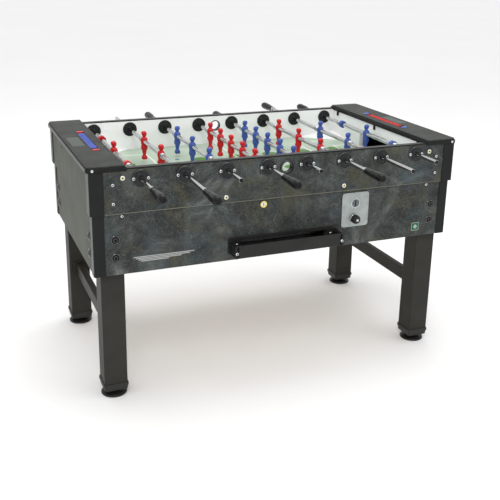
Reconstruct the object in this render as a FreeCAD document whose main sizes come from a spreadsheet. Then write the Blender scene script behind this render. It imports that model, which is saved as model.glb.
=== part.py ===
import FreeCAD, Part
import os
import re
import Sketcher

# Foosball table: a panelled lower cabinet on four steel legs, and above it a play box that hinges
# open at the back for service.  Eight rods cross the play box; rods 1, 2, 4 and 6 are gripped from
# the near side (-Y), rods 3, 5, 7 and 8 from the far side.  Rod 1 is at the -X end.
# Frame: origin on the floor under the middle of the table, +X along its length, +Y away from the
# coin side, +Z up.  All sizes are in millimetres.

SIZES = {
    # playing area
    "rod_pitch": 150, "rod_height": 800, "rod_dia": 16, "rod_wall": 2.5,
    "end_space": 51, "field_wide": 724, "play_depth": 86, "field_thick": 18,
    # panels and cabinets
    "panel_thick": 22, "goal_wall": 18, "goal_pocket": 77, "goal_wide": 240, "goal_tall": 75,
    "mouth_round": 35,
    "seam_drop": 116, "seam_gap": 0.5, "lower_tall": 214, "step_in": 8, "floor_thick": 12, "floor_lift": 10,
    "wall_over": 37, "board_under": 28, "board_thick": 20, "board_lip": 5, "board_over": 8,
    "board_side": 3, "board_round": 18, "board_bevel": 5,
    "profile_thick": 3, "profile_upper": 48, "profile_lower": 39, "profile_round": 7,
    # counters on the boards
    "slot_long": 316, "slot_wide": 28, "slot_deep": 14, "slot_offset": 49, "bead_pitch": 24, "bead_wide": 25,
    "bead_gap": 0.6, "bead_air": 0.5, "bead_proud": 3, "bead_rest": 4, "stop_long": 17,
    "label_wide": 44, "label_long": 148, "label_offset": 93, "label_deep": 1,
    "tab_wide": 12, "tab_thick": 5, "tab_tall": 18, "tab_inset": 42,
    # rods, figures and grips
    "spacing_two": 237, "spacing_three": 193, "spacing_five": 119, "stop_space": 205,
    "figure_wide": 26, "head_dia": 20, "head_up": 29, "neck_dia": 11, "chest_up": 16, "chest_down": 14,
    "hip_dia": 23, "ankle_dia": 13, "foot_dia": 21, "foot_tall": 18, "foot_drop": 74,
    "collar_dia": 30, "collar_long": 18, "buffer_dia": 22, "buffer_long": 22, "buffer_gap": 0.4,
    "slide_air": 1, "fit_air": 0.05, "bore_air": 0.06,
    "grip_gap": 4, "grip_long": 130, "grip_neck": 22, "grip_belly": 32, "ferrule_long": 14, "ferrule_dia": 20,
    "grip_grasp": 60, "bare_setback": 14, "end_cap_long": 10,
    # bearings and ball entries
    "flange_dia": 62, "flange_thick": 4, "boss_dia": 34, "boss_proud": 4, "barrel_dia": 28,
    "cap_dia": 58, "cap_thick": 4, "entry_dia": 58, "entry_bore": 40, "entry_barrel": 46, "entry_drop": 8,
    "entry_thick": 4,
    # rest positions of the eight rods along their slides
    "rest_one": 0, "rest_two": 16, "rest_three": -8, "rest_four": -27,
    "rest_five": -33, "rest_six": 0, "rest_seven": -16, "rest_eight": -19,
    # corner ramps
    "ramp_long": 190, "ramp_wide": 130, "ramp_up": 24, "ramp_edge": 1,
    # legs
    "leg_size": 82, "leg_wall": 2.5, "leg_up": 150, "leg_low": 26, "brace_tall": 50, "brace_thick": 25,
    "brace_height": 250, "brace_plate": 4, "plate_over": 12, "boot_wall": 3.5, "boot_low": 22, "boot_tall": 30,
    "boot_air": 0.1, "foot_pad": 92, "pad_thick": 8, "pad_dome": 5, "stud_dia": 14,
    # leg bolts and screws
    "bolt_dia": 10, "bolt_head": 18, "bolt_cup": 34, "cup_thick": 4, "bolt_top": 61, "bolt_low": 124,
    "bolt_shift": 8,
    "screw_head": 11, "screw_proud": 3, "screw_dia": 4, "screw_deep": 15, "plug_head": 17,
    "corner_screw_in": 64, "corner_screw_up": 100, "corner_screw_low": 36, "seam_screw_in": 96,
    "seam_screw_low": 10, "bearing_screw": 24.5, "plug_space": 228,
    # coin unit, lock, tray and ball return
    "coin_x": 283, "coin_drop": 77, "plate_wide": 112, "plate_tall": 132, "plate_thick": 4, "disc_dia": 32,
    "disc_up": 24, "coin_slot_wide": 4, "coin_slot_tall": 26, "knob_down": 36, "knob_dia": 40, "knob_proud": 22,
    "shaft_dia": 10, "mech_wide": 80, "mech_tall": 100, "mech_deep": 62,
    "lock_x": -85, "lock_low": 20, "lock_dia": 20, "lock_collar": 26, "lock_long": 34, "cam_long": 26,
    "cam_wide": 12, "cam_thick": 3,
    "tray_long": 424, "tray_deep": 57, "tray_low": 22, "tray_tall": 49, "tray_sheet": 3, "tray_flange": 62,
    "tray_over": 6, "tray_end": 16, "slot_edge": 42, "tray_screw_up": 33, "tray_screw_in": 27, "lip_screw_up": 20,
    "ramp_fall": 60, "sheet_thick": 6, "outlet_wide": 360,
    "gate_wide": 334, "gate_tall": 42, "gate_thick": 4, "gate_pin": 8, "gate_set": 50, "gate_air": 1.5,
    # service hinges
    "hinge_space": 430, "hinge_long": 90, "hinge_pin": 6, "knuckle_dia": 14, "leaf_thick": 3, "leaf_tall": 42,
    "knuckle_gap": 0.6,
}

# Places that several pieces share, worked out from the sheet.
GOAL_X = "(3.5*rod_pitch + end_space)"
UPPER_X = f"({GOAL_X} + goal_wall + goal_pocket + panel_thick)"
LOWER_X = f"({UPPER_X} - step_in)"
INNER_Y = "(field_wide/2)"
UPPER_Y = "(field_wide/2 + panel_thick)"
LOWER_Y = f"({UPPER_Y} - step_in)"
FIELD_Z = "(rod_height - play_depth)"
SEAM_Z = "(rod_height - seam_drop)"
UPPER_Z = f"({SEAM_Z} + seam_gap)"
LOWER_Z = f"({SEAM_Z} - lower_tall)"
BOARD_Z = "(rod_height + board_under)"
BOARD_X = f"({GOAL_X} - board_lip)"
BOARD_END = f"({UPPER_X} + profile_thick + board_over)"
LEG_X = f"({LOWER_X} - panel_thick - leg_size/2)"
LEG_Y = f"({LOWER_Y} - panel_thick - leg_size/2)"
TRAY_Z = f"({LOWER_Z} + tray_low)"
PLATE_Z = f"({SEAM_Z} - coin_drop)"
KNOB_Z = f"({PLATE_Z} - knob_down)"
LOCK_Z = f"({SEAM_Z} - lock_low)"
RETURN_Z = f"({LOWER_Z} + floor_lift + floor_thick + 0.3)"
GATE_Y = f"(panel_thick + gate_set - {LOWER_Y})"
RETURN_FRONT = f"({LOWER_Y} - panel_thick - 1)"
RETURN_BACK = f"({LEG_Y} - leg_size/2 - 4)"
GATE_Z = f"({RETURN_Z} + sheet_thick + ramp_fall*gate_set/({RETURN_FRONT} + {RETURN_BACK}) + gate_air + gate_tall)"

RODS = (("one", 1, -1), ("two", 2, -1), ("three", 3, 1), ("four", 5, -1),
        ("five", 5, 1), ("six", 3, -1), ("seven", 2, 1), ("eight", 1, 1))
SPACING = {1: "0", 2: "spacing_two", 3: "spacing_three", 5: "spacing_five"}
TURNS = {"x": ((0, 1, 0), 90), "y": ((1, 0, 0), -90), "z": ((0, 0, 1), 0),
         "-x": ((0, 1, 0), -90), "-y": ((1, 0, 0), 90), "-z": ((1, 0, 0), 180)}

doc = FreeCAD.newDocument("foosball_table")
nodes = []


def make_sheet():
    sheet = doc.addObject("Spreadsheet::Sheet", "Dims")
    for row, (alias, value) in enumerate(SIZES.items(), start=1):
        cell = f"B{row}"
        sheet.set(f"A{row}", alias)
        sheet.set(cell, str(value))
        sheet.setAlias(cell, alias)
    doc.recompute()
    return sheet


dims = make_sheet()


def ex(text):
    """An expression whose size names are references to the sheet."""
    return re.sub(r"\b[a-z]+(?:_[a-z]+)+\b", r"Dims.\g<0>", str(text))


def bind(piece, **sizes):
    for name, text in sizes.items():
        piece.setExpression(name, ex(text))
    return piece


def place(piece, at, along="z"):
    axis, angle = TURNS[along] if isinstance(along, str) else along
    piece.Placement = FreeCAD.Placement(FreeCAD.Vector(), FreeCAD.Rotation(FreeCAD.Vector(*axis), angle))
    for key, text in zip("xyz", at):
        piece.setExpression("Placement.Base." + key, ex(text))
    return piece


def block(name, low, high):
    """A box between two opposite corners."""
    piece = doc.addObject("Part::Box", name)
    spans = [f"({b}) - ({a})" for a, b in zip(low, high)]
    bind(piece, Length=spans[0], Width=spans[1], Height=spans[2])
    return place(piece, low)


def drum(name, dia, start, length, along="z"):
    piece = doc.addObject("Part::Cylinder", name)
    bind(piece, Radius=f"({dia})/2", Height=length)
    return place(piece, start, along)


def taper(name, dia_a, dia_b, start, length, along="z"):
    piece = doc.addObject("Part::Cone", name)
    bind(piece, Radius1=f"({dia_a})/2", Radius2=f"({dia_b})/2", Height=length)
    return place(piece, start, along)


def ball(name, dia, centre):
    piece = doc.addObject("Part::Sphere", name)
    bind(piece, Radius=f"({dia})/2")
    return place(piece, centre)


def copy(name, source, at, along="z"):
    piece = doc.addObject("App::Link", name)
    piece.setLink(source)
    piece.LinkTransform = False
    return place(piece, at, along)


def group(name, pieces):
    piece = doc.addObject("Part::Compound", name)
    piece.Links = pieces
    return piece


def fuse(name, pieces):
    piece = doc.addObject("Part::MultiFuse", name)
    piece.Shapes = pieces
    return piece


def cut(name, base, tools):
    piece = doc.addObject("Part::Cut", name)
    piece.Base = base
    piece.Tool = tools[0] if len(tools) == 1 else fuse(name + "_tools", tools)
    return piece


def node(name, pieces):
    """One named sub-part: a single piece, or a group of separate solids."""
    piece = pieces[0] if len(pieces) == 1 else group(name + "_group", pieces)
    piece.Label = name
    nodes.append(piece)
    return piece


def drill(name, spots, dia, depth, along):
    """Round cutters that start at each spot."""
    return [drum(f"{name}_{i}", dia, spot, depth, along) for i, spot in enumerate(spots)]


def outline(body, name, plane, points):
    """A closed sketch on an origin plane of its own body, every corner tied to the sheet."""
    sketch = body.newObject("Sketcher::SketchObject", name)
    role = {"XY": "XY_Plane", "XZ": "XZ_Plane", "YZ": "YZ_Plane"}[plane]
    sketch.AttachmentSupport = [(next(f for f in body.Origin.OriginFeatures if f.Role == role), "")]
    sketch.MapMode = "FlatFace"
    count = len(points)
    start = [FreeCAD.Vector(*(dims_value(text) for text in point), 0) for point in points]
    for i in range(count):
        sketch.addGeometry(Part.LineSegment(start[i], start[(i + 1) % count]))
    for i in range(count):
        sketch.addConstraint(Sketcher.Constraint("Coincident", i, 2, (i + 1) % count, 1))
    for i, point in enumerate(points):
        for kind, text, value in (("DistanceX", point[0], start[i].x), ("DistanceY", point[1], start[i].y)):
            index = sketch.addConstraint(Sketcher.Constraint(kind, -1, 1, i, 1, value))
            sketch.setExpression(f"Constraints[{index}]", ex(text))
    return sketch


def dims_value(text):
    """The number that an expression of sheet sizes gives now."""
    probe = doc.addObject("Part::Box", "probe")
    probe.setExpression("Placement.Base.x", ex(text))
    probe.recompute()
    value = probe.Placement.Base.x
    doc.removeObject(probe.Name)
    return value


def pad(body, name, sketch, length):
    feature = body.newObject("PartDesign::Pad", name)
    feature.Profile = sketch
    return bind(feature, Length=length)


def dress(body, kind, name, base, wanted, size, amount):
    """A fillet or chamfer on the edges of base that the test picks."""
    doc.recompute()
    names = [f"Edge{i}" for i, edge in enumerate(base.Shape.Edges, start=1) if wanted(edge)]
    feature = body.newObject("PartDesign::" + kind, name)
    feature.Base = (base, names)
    return bind(feature, **{size: amount})


def is_upright(edge):
    ends = [v.Point for v in edge.Vertexes]
    return len(ends) == 2 and (ends[0] - ends[1]).cross(FreeCAD.Vector(0, 0, 1)).Length < 1e-6


def both(text):
    """A length on the near or left side and on the far or right side."""
    return (f"-({text})", text)


# ---------------------------------------------------------------- fasteners

def make_screw():
    """A pan-head screw: head above z = 0, shank below."""
    return fuse("screw_shape", [
        taper("screw_dome", "screw_head", "screw_head*0.6", ("0", "0", "0"), "screw_proud"),
        drum("screw_shank", "screw_dia", ("0", "0", "-screw_deep"), "screw_deep + screw_proud/2")])


def make_plug():
    """A large hex-socket connector screw, which draws an inner panel up to a wall."""
    head = fuse("plug_solid", [
        taper("plug_dome", "plug_head", "plug_head*0.7", ("0", "0", "0"), "screw_proud"),
        drum("plug_shank", "screw_dia*1.6", ("0", "0", "-screw_deep"), "screw_deep + screw_proud/2")])
    return cut("plug_shape", head, [drum("plug_socket", "plug_head*0.35", ("0", "0", "0.5"), "screw_proud")])


def make_leg_bolt():
    """A socket bolt in a dished black cup: it passes the panel and the leg's wall."""
    reach = "panel_thick + leg_wall"
    solid = fuse("bolt_solid", [
        taper("bolt_cup_ring", "bolt_cup", "bolt_cup*0.72", ("0", "0", "0"), "cup_thick"),
        drum("bolt_top_head", "bolt_head", ("0", "0", "0"), "cup_thick*1.5"),
        drum("bolt_shank", "bolt_dia", ("0", "0", f"-({reach}) - 1"), f"{reach} + 2"),
        drum("bolt_nut", "bolt_head", ("0", "0", f"-({reach}) - 8"), "8")])
    return cut("bolt_shape", solid, [drum("bolt_socket", "bolt_head*0.5", ("0", "0", "cup_thick*0.7"), "cup_thick")])


SCREW = make_screw()
PLUG = make_plug()
LEG_BOLT = make_leg_bolt()


def screws(name, source, spots, along):
    return [copy(f"{name}_{i}", source, spot, along) for i, spot in enumerate(spots)]


def leg_bolt_spots(face):
    """Two bolts through each panel into each leg, a little nearer the middle than the leg's own middle."""
    heights = (f"{SEAM_Z} - bolt_top - 29", f"{SEAM_Z} - bolt_low - 29")
    if face == "y":
        return {side: [(x, s, z) for x in both(f"{LEG_X} - bolt_shift") for z in heights]
                for side, s in zip(("-y", "y"), both(LOWER_Y))}
    return {side: [(s, y, z) for y in both(f"{LEG_Y} - bolt_shift") for z in heights]
            for side, s in zip(("-x", "x"), both(LOWER_X))}


SEAM_SCREWS = {side: [(x, s, f"{SEAM_Z} - seam_screw_low") for x in both(f"{LOWER_X} - seam_screw_in")]
               for side, s in zip(("-y", "y"), both(LOWER_Y))}
TRAY_FACE = f"-{LOWER_Y} - tray_sheet"
TRAY_SCREWS = [(x, TRAY_FACE, f"{TRAY_Z} + tray_screw_up") for x in both("tray_long/2 - tray_screw_in")]
LIP_SCREWS = [(x, f"-{LOWER_Y} - tray_deep", f"{TRAY_Z} + lip_screw_up") for x in both("tray_long/2 - tray_end/2")]
CORNER_SCREWS = {side: [(x, s, f"rod_height - {z}") for x in both(f"{UPPER_X} + profile_thick - corner_screw_in - 14")
                        for z in ("(seam_drop - corner_screw_up)", "(seam_drop - corner_screw_low)")]
                 for side, s in zip(("-y", "y"), both(UPPER_Y))}
PLUGS = {side: [(x, s, "rod_height + 5") for x in both(f"{GOAL_X} + goal_wall/2")]
         + [(x, s, f"{FIELD_Z} - field_thick/2") for x in both("plug_space")]
         for side, s in zip(("-y", "y"), both(UPPER_Y))}


def inward(side):
    return {"-y": "y", "y": "-y", "-x": "x", "x": "-x"}[side]


# ---------------------------------------------------------------- lower cabinet

def make_lower_side_panels():
    pieces = []
    for side, near, far in (("-y", f"-{LOWER_Y}", f"-{LOWER_Y} + panel_thick"),
                            ("y", f"{LOWER_Y} - panel_thick", LOWER_Y)):
        tag = "front" if side == "-y" else "back"
        panel = block(f"lower_{tag}", (f"-{LOWER_X}", near, LOWER_Z), (LOWER_X, far, SEAM_Z))
        face = f"-{LOWER_Y}" if side == "-y" else LOWER_Y
        tools = drill(f"{tag}_bolt_hole", leg_bolt_spots("y")[side], "bolt_dia + 0.4", "panel_thick", inward(side))
        tools += drill(f"{tag}_seam_hole", SEAM_SCREWS[side], "screw_dia + 2*fit_air", "screw_deep + 1",
                       inward(side))
        if side == "-y":
            tools += [
                block("tray_slot", ("-tray_long/2 + slot_edge", face, f"{TRAY_Z} + tray_sheet"),
                      ("tray_long/2 - slot_edge", far, f"{TRAY_Z} + tray_tall")),
                block("coin_hole", ("coin_x - mech_wide/2 - 1", face, f"{PLATE_Z} - mech_tall/2 - 1"),
                      ("coin_x + mech_wide/2 + 1", far, f"{PLATE_Z} + mech_tall/2 + 1")),
                drum("lock_hole", "lock_dia + 0.4", ("lock_x", face, LOCK_Z), "panel_thick", "y")]
            tools += drill("tray_pilot", [(x, face, z) for x, _, z in TRAY_SCREWS],
                           "screw_dia + 2*fit_air", "screw_deep - tray_sheet + 1", "y")
        pieces.append(cut(f"lower_{tag}_panel", panel, tools))
    node("lower_side_panels", pieces)


def make_lower_end_panels():
    pieces = []
    for side, low, high in (("-x", f"-{LOWER_X}", f"-{LOWER_X} + panel_thick"),
                            ("x", f"{LOWER_X} - panel_thick", LOWER_X)):
        tag = "left" if side == "-x" else "right"
        panel = block(f"lower_{tag}", (low, f"-{LOWER_Y} + panel_thick", LOWER_Z),
                      (high, f"{LOWER_Y} - panel_thick", SEAM_Z))
        holes = drill(f"{tag}_bolt_hole", leg_bolt_spots("x")[side], "bolt_dia + 0.4", "panel_thick", inward(side))
        pieces.append(cut(f"lower_{tag}_panel", panel, holes))
    node("lower_end_panels", pieces)


def make_cabinet_floor():
    x, y = f"({LOWER_X} - panel_thick)", f"({LOWER_Y} - panel_thick)"
    low, high = f"{LOWER_Z} + floor_lift", f"{LOWER_Z} + floor_lift + floor_thick"
    sheet = block("floor_sheet", (f"-{x}", f"-{y}", low), (x, y, high))
    notch = "(leg_size + 1)"
    corners = [block(f"floor_notch_{i}", (f"{sx} - {notch}/2", f"{sy} - {notch}/2", low),
                     (f"{sx} + {notch}/2", f"{sy} + {notch}/2", high))
               for i, (sx, sy) in enumerate((a, b) for a in both(LEG_X) for b in both(LEG_Y))]
    node("cabinet_floor", [cut("floor_board", sheet, corners)])


def make_corner_profile(name, width, height):
    """An angle that wraps a cabinet corner, its outer edge rounded; its inside corner is at 0, 0."""
    body = doc.addObject("PartDesign::Body", name)
    t, w = "profile_thick", f"({width} - profile_thick)"
    sketch = outline(body, name + "_section", "XY",
                     [(t, t), (f"-{w}", t), (f"-{w}", "0"), ("0", "0"), ("0", f"-{w}"), (t, f"-{w}")])
    strip = pad(body, name + "_strip", sketch, height)

    def outer(edge):
        corner = dims.get(t)
        return is_upright(edge) and all(abs(v.X - corner) + abs(v.Y - corner) < 1e-6 for v in edge.Vertexes)

    body.Tip = dress(body, "Fillet", name + "_round", strip, outer, "Radius", "profile_round")
    return body


def four_corners(name, source, x, y, z):
    spots = (((x, y), 0), ((f"-{x}", y), 90), ((f"-{x}", f"-{y}"), 180), ((x, f"-{y}"), 270))
    return [copy(f"{name}_{turn}", source, (sx, sy, z), ((0, 0, 1), turn)) for (sx, sy), turn in spots]


def make_legs():
    top = f"{LOWER_Z} + leg_up"
    pieces = []
    for i, (x, y) in enumerate((a, b) for a in both(LEG_X) for b in both(LEG_Y)):
        half, bore = "leg_size/2", "(leg_size/2 - leg_wall)"
        tube = block(f"leg_outer_{i}", (f"{x} - {half}", f"{y} - {half}", "leg_low"),
                     (f"{x} + {half}", f"{y} + {half}", top))
        tools = [block(f"leg_bore_{i}", (f"{x} - {bore}", f"{y} - {bore}", "leg_low"),
                       (f"{x} + {bore}", f"{y} + {bore}", top))]
        for face in ("x", "y"):
            for side, spots in leg_bolt_spots(face).items():
                axis, place = (0, x) if face == "y" else (1, y)
                near = [spot for spot in spots if spot[axis].startswith("-") == place.startswith("-")]
                same = (side[0] == "-") == ((y if face == "y" else x)[0] == "-")
                if same:
                    tools += drill(f"leg_hole_{i}_{face}", near, "bolt_dia + 0.4", "panel_thick + leg_wall + 1",
                                   inward(side))
        pieces.append(cut(f"leg_{i}", tube, tools))
    reach = f"({LEG_Y} - leg_size/2)"
    for i, x in enumerate(both(LEG_X)):
        bar = block(f"brace_bar_{i}", (f"{x} - brace_thick/2", f"-{reach} + brace_plate", "brace_height - brace_tall/2"),
                    (f"{x} + brace_thick/2", f"{reach} - brace_plate", "brace_height + brace_tall/2"))
        plates = [block(f"brace_plate_{i}_{j}",
                        (f"{x} - brace_thick/2 - plate_over", low, "brace_height - brace_tall/2 - 6"),
                        (f"{x} + brace_thick/2 + plate_over", high, "brace_height + brace_tall/2 + 6"))
                  for j, (low, high) in enumerate(((f"-{reach}", f"-{reach} + brace_plate"),
                                                   (f"{reach} - brace_plate", reach)))]
        pieces.append(fuse(f"end_brace_{i}", [bar] + plates))
    node("leg_frames", pieces)


def make_leg_boot():
    half, fit = "(leg_size/2 + boot_wall)", "(leg_size/2 + boot_air)"
    shell = block("boot_shell", (f"-{half}", f"-{half}", "0"), (half, half, "boot_tall"))
    base = "leg_low - boot_low"
    return cut("boot_shape", shell, [
        block("boot_pocket", (f"-{fit}", f"-{fit}", base), (fit, fit, "boot_tall")),
        drum("boot_hole", "stud_dia + 0.4", ("0", "0", "0"), base)])


def make_levelling_foot():
    return fuse("foot_shape", [
        drum("pad_disc", "foot_pad", ("0", "0", "0"), "pad_thick"),
        taper("pad_cone", "foot_pad*0.94", "stud_dia*2.4", ("0", "0", "pad_thick"), "pad_dome"),
        drum("pad_neck", "stud_dia*2.4", ("0", "0", "pad_thick"), "boot_low - pad_thick"),
        drum("pad_stud", "stud_dia", ("0", "0", "pad_thick"), "boot_low + 20 - pad_thick")])


def make_leg_ends():
    boot, foot = make_leg_boot(), make_levelling_foot()
    spots = [(x, y) for x in both(LEG_X) for y in both(LEG_Y)]
    node("leg_boots", [copy(f"boot_{i}", boot, (x, y, "boot_low")) for i, (x, y) in enumerate(spots)])
    node("levelling_feet", [copy(f"foot_{i}", foot, (x, y, "0")) for i, (x, y) in enumerate(spots)])


def make_leg_bolts():
    pieces = []
    for face in ("x", "y"):
        for side, spots in leg_bolt_spots(face).items():
            pieces += screws(f"leg_bolt_{face}{len(pieces)}", LEG_BOLT, spots, side)
    node("leg_bolts", pieces)


def make_ball_tray():
    """A sheet gutter on the front panel, open at the top and through the panel's slot behind it."""
    half, t = "tray_long/2", "tray_sheet"
    face = f"-{LOWER_Y}"
    out = f"{face} - tray_deep"
    top = f"{TRAY_Z} + tray_tall"
    gutter = block("tray_outer", (f"-{half}", out, TRAY_Z), (half, face, top))
    flange = block("tray_back", (f"-{half} - tray_over", TRAY_FACE, TRAY_Z), (f"{half} + tray_over", face, f"{TRAY_Z} + tray_flange"))
    solid = fuse("tray_solid", [gutter, flange])
    tools = [block("tray_hollow", (f"-{half} + tray_end", f"{out} + {t}", f"{TRAY_Z} + {t}"),
                   (f"{half} - tray_end", TRAY_FACE, f"{top} + 1")),
             block("tray_mouth", ("-tray_long/2 + slot_edge", TRAY_FACE, f"{TRAY_Z} + {t}"),
                   ("tray_long/2 - slot_edge", face, top))]
    tools += drill("tray_screw_hole", TRAY_SCREWS, "screw_dia + 2*fit_air", t, "y")
    tools += drill("lip_screw_hole", LIP_SCREWS, "screw_dia + 2*fit_air", "screw_deep + 1", "y")
    node("ball_tray", [cut("tray_shape", solid, tools)])


def make_base_screws():
    pieces = screws("tray_screw", SCREW, TRAY_SCREWS + LIP_SCREWS, "-y")
    for side, spots in SEAM_SCREWS.items():
        pieces += screws(f"seam_screw_{len(pieces)}", SCREW, spots, side)
    node("base_screws", pieces)


def make_coin_unit():
    """The coin plate with its slot disc, and the mechanism's housing behind it."""
    face = f"-{LOWER_Y}"
    bore = drum("knob_bore", "shaft_dia + 2*fit_air", ("coin_x", f"{face} - plate_thick - 6", KNOB_Z),
                "mech_deep + 20", "y")
    plate = block("coin_plate_sheet", ("coin_x - plate_wide/2", f"{face} - plate_thick", f"{PLATE_Z} - plate_tall/2"),
                  ("coin_x + plate_wide/2", face, f"{PLATE_Z} + plate_tall/2"))
    disc_z = f"{PLATE_Z} + disc_up"
    slot = block("coin_slot", ("coin_x - coin_slot_wide/2", f"{face} - plate_thick - 6", f"{disc_z} - coin_slot_tall/2"),
                 ("coin_x + coin_slot_wide/2", f"{face} + mech_deep - 20", f"{disc_z} + coin_slot_tall/2"))
    disc_hole = drum("disc_hole", "disc_dia", ("coin_x", f"{face} - plate_thick", disc_z), "plate_thick", "y")
    disc = cut("coin_disc", drum("disc_body", "disc_dia", ("coin_x", f"{face} - plate_thick - 3", disc_z),
                                 "plate_thick + 3", "y"), [slot])
    mech = block("mech_body", ("coin_x - mech_wide/2", face, f"{PLATE_Z} - mech_tall/2"),
                 ("coin_x + mech_wide/2", f"{face} + mech_deep", f"{PLATE_Z} + mech_tall/2"))
    node("coin_unit", [cut("coin_plate", plate, [disc_hole, bore]), disc, cut("coin_mech", mech, [slot, bore])])


def make_coin_knob():
    start = f"-{LOWER_Y} - plate_thick - 0.3"
    knob = fuse("coin_knob_solid", [
        drum("knob_face", "knob_dia", ("coin_x", f"{start} - 8", KNOB_Z), "8", "y"),
        block("knob_wing", ("coin_x - 6", f"{start} - knob_proud", f"{KNOB_Z} - knob_dia/2 + 2"),
              ("coin_x + 6", f"{start} - 7", f"{KNOB_Z} + knob_dia/2 - 2")),
        drum("knob_shaft", "shaft_dia", ("coin_x", f"{start} - 1", KNOB_Z), "mech_deep + 14", "y"),
        block("knob_lever", ("coin_x - 6", f"-{LOWER_Y} + mech_deep + 1", f"{KNOB_Z} - 5"),
              ("coin_x + 34", f"-{LOWER_Y} + mech_deep + 6", f"{KNOB_Z} + 5"))])
    node("coin_knob", [knob])


def make_ball_return():
    """A sloping board under both goals that runs the balls to the outlet, with the gate's two ears."""
    front, inset = RETURN_FRONT, RETURN_BACK
    x = f"({LOWER_X} - panel_thick - 6)"
    low, top = RETURN_Z, f"{RETURN_Z} + ramp_fall"
    body = doc.addObject("PartDesign::Body", "return_board")
    sketch = outline(body, "return_section", "YZ",
                     [(f"-{front}", low), (inset, top), (inset, f"{top} + sheet_thick"), (f"-{front}", f"{low} + sheet_thick")])
    sheet = pad(body, "return_sheet", sketch, f"2*{x}")
    sheet.Midplane = True
    body.Tip = sheet
    sides = ((f"-{x}", "-outlet_wide/2"), ("outlet_wide/2", x))
    tools = [block(f"return_notch_{i}", (f"{a} - 1", f"-{front} - 1", f"{low} - 1"), (b, f"-{inset}", f"{top} + 20"))
             for i, (a, b) in enumerate(((sides[0]), (sides[1][0] + " + 1", sides[1][1] + " + 1")))]
    board = cut("return_ramp", body, tools)
    fences = [block(f"return_fence_{i}", (a, f"-{inset}", f"{low} + sheet_thick"),
                    (b, f"-{inset} + sheet_thick", top)) for i, (a, b) in enumerate(sides)]
    posts = [block(f"return_post_{i}", (f"{px} - 10", f"{inset} - 20", low), (f"{px} + 10", inset, f"{top} + 1"))
             for i, px in enumerate(("-600", "-200", "200", "600"))]
    ears = [cut(f"gate_ear_{i}",
                block(f"gate_cheek_{i}", (a, f"{GATE_Y} - 10", f"{low} + sheet_thick/2"), (b, f"{GATE_Y} + 10", f"{GATE_Z} + 10")),
                [drum(f"gate_bore_{i}", "gate_pin + 2*bore_air", (f"{a} - 1", GATE_Y, GATE_Z), "outlet_wide/2", "x")])
            for i, (a, b) in enumerate((("-outlet_wide/2", "-gate_wide/2 - 3"), ("gate_wide/2 + 3", "outlet_wide/2")))]
    node("ball_ramp", [fuse("return_tray", [board] + fences + posts + ears)])


def make_ball_gate():
    """A flap across the outlet that swings towards the tray and up to let the balls through."""
    node("ball_gate", [fuse("gate_flap", [
        block("gate_sheet", ("-gate_wide/2", f"{GATE_Y} - gate_thick/2", f"{GATE_Z} - gate_tall"),
              ("gate_wide/2", f"{GATE_Y} + gate_thick/2", GATE_Z)),
        drum("gate_rod", "gate_pin", ("-outlet_wide/2 + 1", GATE_Y, GATE_Z), "outlet_wide - 2", "x")])])


def make_cabinet_lock():
    face = f"-{LOWER_Y}"
    lock = fuse("lock_solid", [
        taper("lock_collar_ring", "lock_collar*0.8", "lock_collar", ("lock_x", f"{face} - 3.3", LOCK_Z), "3", "y"),
        drum("lock_barrel", "lock_dia", ("lock_x", f"{face} - 1", LOCK_Z), "lock_long + 1", "y"),
        block("lock_cam", ("lock_x - cam_wide/2", f"{face} + lock_long - 1", f"{LOCK_Z} - cam_wide/2"),
              ("lock_x + cam_long", f"{face} + lock_long - 1 + cam_thick", f"{LOCK_Z} + cam_wide/2"))])
    key = block("keyhole", ("lock_x - 1", f"{face} - 6", f"{LOCK_Z} - 4"), ("lock_x + 1", f"{face} + 4", f"{LOCK_Z} + 4"))
    node("cabinet_lock", [cut("lock_shape", lock, [key])])


# ---------------------------------------------------------------- service hinges

HINGE_Y = f"({UPPER_Y} + knuckle_dia/2)"


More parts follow.
